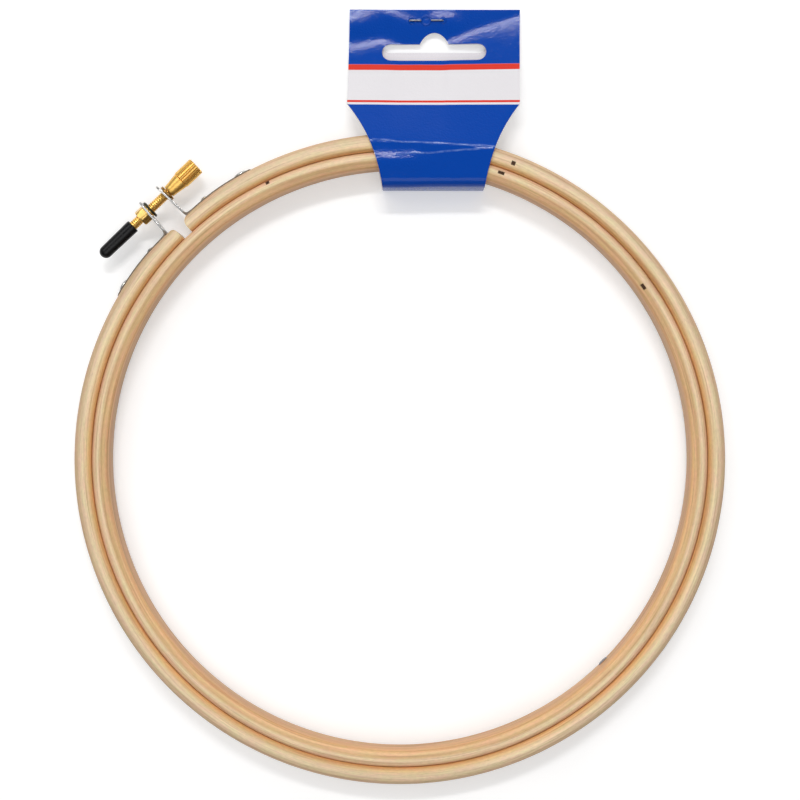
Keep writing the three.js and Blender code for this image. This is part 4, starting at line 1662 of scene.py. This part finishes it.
@dataclass
class ScrewSet:
    """The thumb screw with its washer, nut and tip cap, along the screw's own axis."""

    places: HoopPlaces
    thread: float = 2.8 * MM
    thread_root: float = 2.45 * MM
    thread_form: Triple = (0.1, 0.42, 0.62)
    thread_steps: int = 36
    pitch: float = 0.635 * MM
    thread_end: float = -16.8 * MM
    shoulder: float = 4.9 * MM
    neck: float = 3.7 * MM
    neck_top: float = 4.8 * MM
    head_start: float = 9.7 * MM
    head_end: float = 16 * MM
    head: float = 5.2 * MM
    knurls: int = 24
    knurl_share: float = 0.8
    knurl_depth: float = 0.3 * MM
    bore: float = 3.3 * MM
    washer: Triple = (3.9 * MM, 4.7 * MM, 4.8 * MM)
    nut_flats: float = 4.4 * MM
    nut_span: Pair = (-3.9 * MM, -6.6 * MM)
    nut_neck: float = 3.9 * MM
    nut_turn: float = math.radians(-4)
    collar: Triple = (-2.9 * MM, -2.2 * MM, 5.4 * MM)
    cap_span: Pair = (-9.5 * MM, -22.3 * MM)
    cap_mouth: float = 4.0 * MM
    cap_tip: float = 3.7 * MM
    cap_bore: float = 3.1 * MM
    cap_bore_end: float = -17.0 * MM
    round_steps: int = 48

    def build(self, groups: Groups) -> None:
        """Builds the four pieces.

        Args:
            groups: Shared node groups.
        """
        place = self.places.screw_axis
        screw = make_piece("thumb_screw_brass", self.draw_screw(), [BRASS.material(groups)], place)
        settle(screw, Body.SCREW, Slot.BRASS, "thumb_screw")
        # The washer takes the darker brass, a painted shade.
        washer = make_piece("washer_ring", self.draw_washer(), [SHADED_WASHER_BRASS.material(groups)], place)
        settle(washer, Body.SCREW, Slot.BRASS, "screw_washer")
        # The nut's second material is the collar's painted shade.
        brasses = [NUT_BRASS.material(groups), SHADED_COLLAR_BRASS.material(groups)]
        nut = make_piece("clamp_nut_hexagon", self.draw_nut(), brasses, place)
        settle(nut, Body.ARM, Slot.BRASS, "clamp_nut")
        cap = make_piece("tip_cap_sleeve", self.draw_cap(), [RubberFinish().material()], place)
        settle(cap, Body.SCREW, Slot.RUBBER, "tip_cap")

    def draw_screw(self) -> BMesh:
        """Draws the knurled head with its neck, and the threaded shank.

        Returns:
            The screw.
        """
        def knurled(angle: float) -> float:
            """Gives the head's radius, lower in the grooves between its ridges."""
            share = (angle / FULL_TURN * self.knurls + 0.01) % 1
            return self.head / 2 - (self.knurl_depth if share > self.knurl_share else 0)

        chamfer = 0.2 * MM
        neck, top, head = self.neck / 2, self.neck_top / 2, self.head / 2
        low = head - self.knurl_depth
        stations = [
            (self.shoulder, round_ring(neck - 0.1 * MM)), (self.shoulder + 0.12 * MM, round_ring(neck)),
            (self.shoulder + 1.0 * MM, round_ring(neck + 0.06 * MM)),
            (self.head_start - 0.3 * MM, round_ring(top)), (self.head_start - 0.05 * MM, round_ring(top)),
            (self.head_start, round_ring(low)), (self.head_start + chamfer, knurled),
            (self.head_end - chamfer, knurled), (self.head_end, round_ring(low - 0.05 * MM)),
            (self.head_end, round_ring(0.72 * head)), (self.head_end - 0.15 * MM, round_ring(0.66 * head)),
        ]
        bm = draw_rings(stations, 6 * self.knurls, hollow=False)
        self.add_thread(bm)
        return bm

    def add_thread(self, bm: BMesh) -> None:
        """Adds the threaded shank to the screw's mesh, wound round the axis and cut square.

        Args:
            bm: The screw's mesh, with its head and neck.
        """
        root, crest, overlap = self.thread_root / 2, self.thread / 2, 0.05 * MM
        turns = math.ceil((self.shoulder - self.thread_end) / self.pitch) + 1
        start = self.thread_end - self.pitch
        rise, crest_start, crest_end = self.thread_form
        form = ((0, root), (rise, root), (crest_start, crest), (crest_end, crest), (1, root))
        points = [bm.verts.new((start + share * self.pitch, radius, 0)) for share, radius in form]
        edges = [bm.edges.new(pair) for pair in zip(points, points[1:])]
        old = set(bm.verts) - set(points)
        bmesh.ops.spin(bm, geom=points + edges, cent=(0, 0, 0), axis=(1, 0, 0), angle=FULL_TURN * turns,
                       steps=self.thread_steps * turns, dvec=(self.pitch / self.thread_steps, 0, 0))
        wound = [vert for vert in bm.verts if vert not in old]
        bmesh.ops.remove_doubles(bm, verts=wound, dist=NEAR_POINT)
        for cut, side in ((self.thread_end, -1), (self.shoulder + overlap, 1)):
            faces = {face for vert in bm.verts if vert not in old for face in vert.link_faces}
            cut_through(bm, faces, Vector((cut, 0, 0)), Vector((side, 0, 0)), clear=True)
            rim = [edge for edge in bm.edges if edge.is_boundary
                   and all(abs(vert.co.x - cut) < NEAR_POINT for vert in edge.verts)]
            bmesh.ops.holes_fill(bm, edges=rim, sides=0)

    def draw_washer(self) -> BMesh:
        """Draws the washer, a flat ring with eased edges.

        Returns:
            The washer.
        """
        start, end, diameter = self.washer
        ease, bore, rim = 0.15 * MM, self.bore / 2, diameter / 2
        profile = [(start, bore), (end, bore), (end, rim - ease), (end - ease, rim), (start + ease, rim),
                   (start, rim - ease)]
        return turn_profile(profile, self.round_steps)

    def draw_nut(self) -> BMesh:
        """Draws the hexagon nut with its neck through the lug and the collar on the lug's inner side.

        Returns:
            The nut.
        """
        flat = self.nut_flats / 2
        sixth = FULL_TURN / 6

        def hexagon(limit: float) -> Callable[[float], float]:
            """Gives a hexagon station, one flat to the front.

            Args:
                limit: Radius that its corners are cut down to.

            Returns:
                The radius at an angle, as a function.
            """
            def size(angle: float) -> float:
                """Gives the radius at an angle."""
                off = (angle + sixth) % sixth - sixth / 2
                return min(flat / math.cos(off), limit)
            return size

        near, far = self.nut_span
        collar_start, collar_end, collar = self.collar
        bore, neck, lip = self.bore / 2, self.nut_neck / 2, collar / 2
        chamfer, sharp = 0.3 * MM, 2 * flat
        stations = [
            (far, round_ring(bore)), (far, hexagon(1.02 * flat)), (far + chamfer, hexagon(sharp)),
            (near - 0.12 * MM, hexagon(sharp)), (near, hexagon(1.1 * flat)), (near, round_ring(neck)),
            (collar_start, round_ring(neck)), (collar_start, round_ring(lip - 0.1 * MM)),
            (collar_start + 0.1 * MM, round_ring(lip)), (collar_end - 0.25 * MM, round_ring(lip)),
            (collar_end, round_ring(lip - 0.3 * MM)), (collar_end, round_ring(bore)),
        ]
        bm = draw_rings(stations, self.round_steps, hollow=True)
        bmesh.ops.rotate(bm, verts=bm.verts, cent=(0, 0, 0), matrix=Matrix.Rotation(self.nut_turn, 3, "X"))
        # The collar's faces take the second material, its painted shade.
        for face in bm.faces:
            face.material_index = int(face.calc_center_median().x > collar_start - SAME_POINT)
        return bm

    def draw_cap(self) -> BMesh:
        """Draws the cap, a slightly conical sleeve with a round nose and a soft lip.

        Returns:
            The cap.
        """
        mouth, nose = self.cap_span
        bore, tip, dome_steps = self.cap_bore / 2, self.cap_tip / 2, 10
        lip = (self.cap_mouth / 2 - bore) / 2
        dome = [(nose + tip * (1 - math.sin(a)), tip * math.cos(a))
                for a in (QUARTER_TURN * step / dome_steps for step in range(dome_steps))]
        edge = arc((mouth - lip, bore + lip), lip, 360, 450, 6)
        inner = arc((mouth - lip, bore + lip), lip, 270, 360, 4)[1:-1]
        profile = [(self.cap_bore_end, 0), (self.cap_bore_end, bore), (mouth - lip, bore), *inner, *edge,
                   *dome, (nose, 0)]
        return turn_profile(profile, self.round_steps)


# Hang card


@dataclass(frozen=True)
class Buckle:
    """A soft ridge in the card.

    Attributes:
        start: First end of its top line, from the card's middle and below its top edge.
        end: Second end.
        height: Height of the ridge.
        spread: How far it falls away from its line towards the fold.
        tail: How far it falls away towards the top edge.
    """

    start: Pair
    end: Pair
    height: float
    spread: float
    tail: float

    def height_at(self, across: float, below: float) -> float:
        """Gives the ridge's height at a place on the card.

        Args:
            across: Distance of the place from the card's middle.
            below: Its distance below the top edge.

        Returns:
            The height.
        """
        start, end = Vector(self.start), Vector(self.end)
        run = end - start
        place = Vector((across, below))
        share = min(max((place - start).dot(run) / run.length_squared, 0), 1)
        away = place - start - run * share
        up = Vector((run.y, -run.x)).normalized()
        higher = max(away.dot(up), 0) / max(away.length, SAME_POINT)
        spread = self.spread + (self.tail - self.spread) * higher
        return self.height * math.exp(-(away.length / spread) ** 2)


@dataclass
class HangCard:
    """The folded hang card: a back and a front panel round the rims, closed by a staple."""

    places: HoopPlaces
    thickness: float = 0.4 * MM
    shoulder: float = 103 * MM
    waist: Pair = (17 * MM, 92.5 * MM)
    fold_half: float = 14.75 * MM
    bend: float = 2.5 * MM
    crease: Pair = (91.6 * MM, 89.6 * MM)
    crease_handle: Pair = (7 * MM, 2.3 * MM)
    closing_handle: Pair = (7 * MM, 0.35 * MM)
    closed_length: float = 9 * MM
    closing: tuple[Pair, ...] = (
        (-30 * MM, 7.9 * MM), (-14.5 * MM, 7.6 * MM), (-10 * MM, 9.8 * MM), (2.4 * MM, 9.8 * MM),
        (4.8 * MM, 7.6 * MM), (25.1 * MM, 1.2 * MM), (30 * MM, 0.2 * MM))
    back_rise: float = 0.7 * MM
    back_flat_end: float = 94.8 * MM
    slot_width: float = 30.7 * MM
    slot_height: float = 5.1 * MM
    slot_below_top: float = 12.8 * MM
    hump: Pair = (8.5 * MM, 3.4 * MM)
    hump_foot: Pair = (0.86, 0.45)
    hump_crown: float = 0.5
    back_shift: float = 2.8 * MM
    lean: float = 0.6 * MM
    trim: float = 0.05 * MM
    cell: float = 0.9 * MM
    outline_steps: int = 14
    bend_steps: int = 10
    halvings: int = 40
    staple_wire: float = 0.25 * MM
    tip_length: float = 3.0 * MM
    dents: tuple[Pair, ...] = ((-4.2 * MM, 0.85 * MM), (0, 1.35 * MM), (5.0 * MM, 0.75 * MM))
    creases: tuple[Crease, ...] = (Crease((-17.7 * MM, 91.75 * MM), (17.5 * MM, 89.9 * MM)),
                                   Crease((-11.0 * MM, 87.4 * MM), (17.0 * MM, 89.3 * MM)))
    buckles: tuple[Buckle, ...] = (
        Buckle((-29 * MM, 6.6 * MM), (-24.2 * MM, 4.8 * MM), 0.72 * MM, 6 * MM, 4.6 * MM),
        Buckle((-13.9 * MM, 1.6 * MM), (-8 * MM, 3.6 * MM), 0.2 * MM, 4 * MM, 1.5 * MM),
        Buckle((1.6 * MM, 3.3 * MM), (3.8 * MM, 3.2 * MM), 0.3 * MM, 4 * MM, 2.3 * MM),
        Buckle((-17 * MM, 46.8 * MM), (-8 * MM, 46.6 * MM), 0.53 * MM, 5 * MM, 2.6 * MM),
    )
    low: Vector = field(init=False)
    high: Vector = field(init=False)

    def __post_init__(self) -> None:
        """Reads the card's width, fold and top edge from its front panel's CAD node."""
        self.low, self.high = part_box("tag_front_panel")

    @property
    def half(self) -> float:
        """Half of the card's width."""
        return (self.high.x - self.low.x) / 2

    @property
    def top(self) -> float:
        """Distance of the card's top edge from the hoops' axis."""
        return self.high.y - self.trim - self.places.centre.y

    @property
    def fold(self) -> float:
        """Distance of the fold's outer face from the hoops' axis."""
        return self.low.y - self.places.centre.y

    @property
    def place(self) -> Matrix:
        """Turns the card's own axes, from its middle and the hoops' axis, into the frame's."""
        return Matrix.Translation(((self.low.x + self.high.x) / 2, self.places.centre.y, 0))

    @property
    def bend_radius(self) -> float:
        """Radius of the fold's bends at the middle of the sheet."""
        return self.bend - self.thickness / 2

    def half_at(self, reach: float) -> float:
        """Gives half of the card's width, drawn in below the shoulder.

        Args:
            reach: Distance from the hoops' axis.

        Returns:
            Half of the width there.
        """
        if reach >= self.shoulder:
            return self.half
        square = self.shoulder - 2 * self.waist[1] + self.fold
        linear = 2 * (self.waist[1] - self.shoulder)
        rest = self.shoulder - max(reach, self.fold)
        share = (-linear - math.sqrt(linear ** 2 - 4 * square * rest)) / (2 * square)
        return ((1 - share) ** 2 * self.half + 2 * share * (1 - share) * self.waist[0]
                + share ** 2 * self.fold_half)

    def closed_at(self, across: float) -> float:
        """Gives where the front panel comes to lie on the back one, nearer to the top on the right.

        Args:
            across: Distance from the card's middle.

        Returns:
            Distance below the top edge.
        """
        for (left, first), (right, second) in zip(self.closing, self.closing[1:]):
            if across <= right:
                return first + (second - first) * (across - left) / (right - left)
        return self.closing[-1][1]

    def crease_at(self, across: float) -> float:
        """Gives where the front panel bends down, nearer to the fold on the right.

        Args:
            across: Distance from the card's middle.

        Returns:
            Distance from the hoops' axis.
        """
        left, right = self.crease
        share = (across / self.waist[0] + 1) / 2
        return left + (right - left) * share

    def front_height(self, across: float, reach: float) -> float:
        """Gives the plain line of the front panel, from the rims down to the back panel.

        Args:
            across: Distance from the card's middle.
            reach: Distance from the hoops' axis.

        Returns:
            Height of the panel's middle.
        """
        crease = self.crease_at(across)
        high = self.high.z - self.thickness / 2
        closed = self.low.z + self.thickness / 2
        end = self.top - self.closed_at(across)
        if reach <= crease:
            return high
        if reach >= end:
            return closed
        near, far = 0.0, 1.0
        run, drop = self.crease_handle
        back, rise = self.closing_handle
        for _ in range(self.halvings):
            share = (near + far) / 2
            along = cubic(share, crease, crease + run, end - back, end)
            near, far = (share, far) if along < reach else (near, share)
        return cubic(share, high, high - drop, closed + rise, closed)

    def back_height(self, reach: float) -> float:
        """Gives the line of the back panel, from the floor up to the staple.

        Args:
            reach: Distance from the hoops' axis.

        Returns:
            Height of the panel's middle.
        """
        end = self.top - self.closed_length
        share = min(max((reach - self.back_flat_end) / (end - self.back_flat_end), 0), 1)
        return self.thickness / 2 + share * self.back_rise

    def front_lift(self, across: float, reach: float) -> float:
        """Gives how far the front panel stands off its plain line, where it is buckled."""
        return sum(buckle.height_at(across, self.top - reach) for buckle in self.buckles)

    def outline(self, bm: BMesh, start: float, shift: float) -> list[BMEdge]:
        """Draws a panel's outline in plan, from the fold's bend to the top edge.

        Args:
            bm: Mesh to draw in.
            start: Distance of the fold's bend from the hoops' axis.
            shift: How far the shoulder sits nearer to the top edge.

        Returns:
            The outline's edges.
        """
        shares = [step / self.outline_steps for step in range(self.outline_steps + 1)]
        run = self.shoulder - start
        right = [(self.half_at(start + run * share), start + (run + shift) * share) for share in shares]
        right.append((self.half, self.top))
        points = right + [(-across, reach) for across, reach in reversed(right)]
        return self.close_loop(bm, points)

    def slot_outline(self, bm: BMesh, shift: float) -> list[BMEdge]:
        """Draws the hang slot: long with round ends, and a hump above its middle.

        Args:
            bm: Mesh to draw in.
            shift: How far the slot sits nearer to the top edge.

        Returns:
            The slot's edges.
        """
        end = self.slot_height / 2
        middle = self.top - self.slot_below_top + shift
        run = self.slot_width / 2 - end
        half, rise = self.hump[0] / 2, self.hump[1]
        hump = []
        for share in (step / self.bend_steps for step in range(self.bend_steps + 1)):
            across = cubic(share, 1, self.hump_foot[0], self.hump_crown, 0) * half
            up = cubic(share, 0, self.hump_foot[1], 1, 1) * rise
            hump.append((across, middle + end + up))
        points = (arc((run, middle), end, -90, 90, self.bend_steps) + hump
                  + [(-across, reach) for across, reach in reversed(hump[:-1])]
                  + arc((-run, middle), end, 90, 270, self.bend_steps))
        return self.close_loop(bm, points)

    @staticmethod
    def close_loop(bm: BMesh, points: Sequence[Pair]) -> list[BMEdge]:
        """Joins points of a plan into a closed loop of edges."""
        verts = [bm.verts.new((across, reach, 0)) for across, reach in points]
        return [bm.edges.new(pair) for pair in zip(verts, verts[1:] + verts[:1])]

    def draw_flat(self, start: float, shift: float) -> BMesh:
        """Draws a panel flat with its slot, in cells that it can be bent by.

        Args:
            start: Distance of the fold's bend from the hoops' axis.
            shift: How far the shoulder and the slot sit nearer to the top edge.

        Returns:
            The flat panel.
        """
        bm = bmesh.new()
        edges = self.outline(bm, start, shift) + self.slot_outline(bm, shift)
        bmesh.ops.triangle_fill(bm, use_beauty=True, use_dissolve=False, edges=edges)
        columns = math.ceil(2 * self.half / self.cell)
        rows = math.ceil((self.top - start) / self.cell)
        cuts = [(Vector((-self.half + 2 * self.half * step / columns, 0, 0)), Vector((1, 0, 0)))
                for step in range(1, columns)]
        cuts += [(Vector((0, start + (self.top - start) * step / rows, 0)), Vector((0, 1, 0)))
                 for step in range(1, rows)]
        for point, normal in cuts:
            bmesh.ops.bisect_plane(bm, geom=[*bm.verts, *bm.edges, *bm.faces], dist=NEAR_POINT,
                                   plane_co=point, plane_no=normal)
        return bm

    def bend_fold(self, bm: BMesh, start: float, level: float, sign: int) -> None:
        """Bends a panel's end round its half of the fold.

        Args:
            bm: The panel.
            start: Distance of the bend from the hoops' axis.
            level: Height of the panel there.
            sign: 1 for the front panel, which bends down, and -1 for the back one.
        """
        rim = [edge for edge in bm.edges if all(abs(vert.co.y - start) < NEAR_POINT for vert in edge.verts)]
        pivot = Vector((0, start, level - sign * self.bend_radius))
        ends = list({vert for edge in rim for vert in edge.verts})
        made = bmesh.ops.spin(bm, geom=ends + rim, cent=pivot, axis=(1, 0, 0),
                              angle=sign * QUARTER_TURN, steps=self.bend_steps)["geom_last"]
        rest = abs(pivot.z - self.places.axis_height)
        made = bmesh.ops.extrude_edge_only(bm, edges=only(BMEdge, made))["geom"]
        bmesh.ops.translate(bm, verts=only(BMVert, made), vec=(0, 0, -sign * rest))
        wide = self.half_at(start)
        for vert in bm.verts:
            if vert.co.y < start - SAME_POINT:
                vert.co.x *= self.half_at(vert.co.y) / wide

    def draw_panel(self, front: bool) -> BMesh:
        """Draws a panel's middle sheet: flat with its slot, then bent to its line and round the fold.

        Args:
            front: Whether it is the front panel, not the back one.

        Returns:
            The sheet, with its outer side up on the front and down on the back.
        """
        sign = 1 if front else -1
        start = self.fold + self.thickness / 2 + self.bend_radius
        bm = self.draw_flat(start, 0 if front else self.back_shift)
        for vert in bm.verts:
            across, reach = vert.co.xy
            vert.co.x += self.lean * max((reach - self.shoulder) / (self.top - self.shoulder), 0)
            if front:
                vert.co.z = self.front_height(across, reach) + self.front_lift(across, reach)
            else:
                vert.co.z = self.back_height(reach)
        self.bend_fold(bm, start, self.front_height(0, start) if front else self.back_height(start), sign)
        bmesh.ops.recalc_face_normals(bm, faces=bm.faces)
        bm.normal_update()
        topmost = max(bm.faces, key=lambda face: face.calc_center_median().y)
        if topmost.normal.z * sign < 0:
            bmesh.ops.reverse_faces(bm, faces=bm.faces)
        return bm

    def build(self, groups: Groups) -> None:
        """Builds both panels and the staple with its clinched tips.

        Args:
            groups: Shared node groups.
        """
        inner, edge = INNER_CARD.material(groups), CUT_EDGE.material(groups)
        creases = [(self.place @ Vector((*line.left, 0)), self.place @ Vector((*line.right, 0)))
                   for line in self.creases]
        low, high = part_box("tag_staple")
        middle = (low + high) / 2
        middle.z = self.low.z + self.thickness
        dents = [(middle + Vector((across, 0, 0)), radius) for across, radius in self.dents]
        sides = ((True, "card_front_sheet", "printed_front", Body.CARD_FRONT, "tag_front_panel",
                  (creases, dents)),
                 (False, "card_back_sheet", "printed_back", Body.CARD_BACK, "tag_back_panel", ()))
        for front, name, finish, body, node, marks in sides:
            outer = PrintedCardFinish(finish).material(groups, self.high.y, *marks)
            sheet = make_piece(name, self.draw_panel(front), [outer, inner, edge], self.place, closed=False)
            wall = add_wall(sheet, "board", self.thickness)
            wall.material_offset, wall.material_offset_rim = 1, 2
            settle(sheet, body, Slot.CARD, node)
        self.build_staple(groups)

    def build_staple(self, groups: Groups) -> None:
        """Builds the staple from behind, and the clinched tips that hold the front panel.

        Args:
            groups: Shared node groups.
        """
        steel = STAPLE_STEEL.material(groups)
        low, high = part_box("tag_staple")
        wire, gap = self.staple_wire, 0.02 * MM
        bend = 2 * wire
        span = high.x - low.x - 2 * wire
        middle = (low + high) / 2
        under = self.low.z - gap
        left = Vector((low.x + wire, middle.y, under))
        up, across = Vector((0, 0, 1)), Vector((1, 0, 0))
        fall = under - low.z - wire - bend
        main = BentWire(left, -up, wire).straight(fall).bend(across, bend).straight(span - 2 * bend)
        bm = main.bend(up, bend).straight(fall).end()
        staple = make_piece("card_staple_wire", bm, [steel])
        settle(staple, Body.CARD_BACK, Slot.WIRE, "tag_staple")
        for sign, name in ((1, "left"), (-1, "right")):
            foot = Vector((middle.x - sign * span / 2, middle.y, under))
            across_card, reach, _ = self.place.inverted() @ foot
            face = self.low.z + self.thickness + self.front_lift(across_card, reach)
            tip = BentWire(foot, up, wire).straight(face - under - wire)
            bm = tip.bend(across * sign, bend).straight(self.tip_length).end()
            piece = make_piece(f"card_staple_{name}_tip", bm, [steel])
            settle(piece, Body.CARD_FRONT, Slot.WIRE)


# Studio


@dataclass(frozen=True)
class Lamp:
    """A soft lamp that faces the hoop."""

    name: str
    place: Triple
    size: Pair
    power: float

    def hang(self) -> None:
        """Hangs the lamp and turns it to the hoop."""
        lamp = bpy.data.lights.new(self.name, "AREA")
        lamp.shape, lamp.energy = "RECTANGLE", self.power
        lamp.size, lamp.size_y = self.size
        light = bpy.data.objects.new(self.name, lamp)
        light.location = self.place
        light.rotation_euler = (-Vector(self.place)).to_track_quat("-Z", "Y").to_euler()
        bpy.context.scene.collection.objects.link(light)


@dataclass
class Studio:
    """Pale floor, soft light from above and the camera straight over the hoop."""

    eye: Triple = (0.05 * MM, -2 * MM, 358 * MM)
    lens: float = 54.33
    sensor: float = 36.0
    clip_start: float = 0.01
    sky: tuple[Pair, ...] = ((0.0, 0.22), (0.3, 0.28), (0.6, 0.29), (0.9, 0.25), (1.0, 0.21))
    north_glow: Pair = (0.7, 1.6)
    horizon: float = 0.08
    floor_half: float = 4.0
    floor_drop: float = 0.05 * MM
    floor_scale: float = 40.0
    floor_shade: Pair = (0.79, 0.82)
    floor_roughness: float = 0.9
    floor_glow: Pair = (0.34, 0.86)
    floor_reach: Pair = (0.4, 1.6)
    lamps: tuple[Lamp, ...] = (Lamp("north_lamp", (-0.03, 0.72, 1.05), (0.5, 0.09), 5.2),
                               Lamp("south_lamp", (0.1, -0.42, 1.1), (1.0, 0.8), 3.8),
                               Lamp("corner_lamp", (-0.68, 0.5, 1.1), (0.75, 0.7), 3.0))

    def build(self) -> None:
        """Sets up the camera, the floor, the sky and the lamps."""
        scene = bpy.context.scene
        scene.view_settings.view_transform = "Standard"
        camera = bpy.data.cameras.new("camera")
        camera.lens, camera.sensor_width, camera.clip_start = self.lens, self.sensor, self.clip_start
        eye = bpy.data.objects.new("camera", camera)
        eye.location = self.eye
        scene.collection.objects.link(eye)
        scene.camera = eye
        self.lay_floor()
        self.light_sky()
        for lamp in self.lamps:
            lamp.hang()

    def lay_floor(self) -> None:
        """Lays the floor, which keeps the hoop's shadow and shows white to the camera and in mirrors."""
        bm = bmesh.new()
        bmesh.ops.create_grid(bm, x_segments=1, y_segments=1, size=self.floor_half)
        bmesh.ops.translate(bm, vec=(0, 0, -self.floor_drop), verts=bm.verts)
        material, nodes, shader = start_material("white_floor")
        place = nodes.place()
        paper = nodes.swing(nodes.noise(place, self.floor_scale), *self.floor_shade)
        tint = nodes.add("ShaderNodeCombineXYZ", {"X": paper, "Y": paper, "Z": paper}).outputs[0]
        nodes.feed(shader.inputs["Base Color"], tint)
        shader.inputs["Roughness"].default_value = self.floor_roughness
        seen = nodes.maths("MAXIMUM", *nodes.rays())
        reach = nodes.add("ShaderNodeVectorMath", {0: place}, operation="LENGTH").outputs["Value"]
        strength = nodes.maths("MULTIPLY", seen, nodes.spread(reach, *self.floor_reach, *self.floor_glow))
        glow = nodes.add("ShaderNodeEmission", {"Color": WHITE, "Strength": strength})
        both = nodes.add("ShaderNodeAddShader", {0: shader.outputs[0], 1: glow.outputs[0]})
        nodes.feed(material.node_tree.nodes["Material Output"].inputs["Surface"], both.outputs[0])
        floor = make_piece("floor", bm, [material], closed=False)

    def light_sky(self) -> None:
        """Makes the sky: soft grey light that is brighter in the north, and white for the camera."""
        world = bpy.data.worlds.new("sky")
        bpy.context.scene.world = world
        world.use_nodes = True
        nodes = NodeTree(world.node_tree)
        shown = world.node_tree.nodes["Background"]
        shown.inputs["Color"].default_value = WHITE
        shown.inputs["Strength"].default_value = 1.0
        place = nodes.add("ShaderNodeTexCoord").outputs["Generated"]
        way = nodes.add("ShaderNodeSeparateXYZ", {0: place}).outputs
        level = nodes.ramp(way["Z"], [(height, (grey, grey, grey, 1)) for height, grey in self.sky])
        start, gain = self.north_glow
        strength = nodes.maths("ADD", level, nodes.spread(way["Y"], start, 1.0, 0.0, gain))
        lit = nodes.add("ShaderNodeBackground", {"Color": WHITE, "Strength": strength})
        direct, mirrored = nodes.rays()
        low = nodes.spread(way["Z"], 0.0, self.horizon, 1.0, 0.0)
        seen = nodes.maths("MAXIMUM", direct, nodes.maths("MULTIPLY", mirrored, low))
        pick = nodes.add("ShaderNodeMixShader", {0: seen, 1: lit.outputs[0], 2: shown.outputs[0]})
        nodes.feed(world.node_tree.nodes["World Output"].inputs["Surface"], pick.outputs[0])


def write_sizes() -> None:
    """Updates the view layer at the end of the build."""
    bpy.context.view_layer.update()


def main() -> None:
    """Builds the studio and the object's sub-assemblies in order."""
    logging.basicConfig(level=logging.INFO, format="%(name)s: %(message)s")
    places = HoopPlaces.read()
    groups = Groups.make()
    Studio().build()
    InnerHoop.read(places).build(groups)
    OuterHoop.read(places).build(groups)
    Bracket(places, Side.RIGHT, hole=3.3 * MM).build(groups)
    Bracket(places, Side.LEFT, hole=4.3 * MM).build(groups)
    ScrewSet(places).build(groups)
    HangCard(places).build(groups)
    write_sizes()


if __name__ == "__main__":
    main()
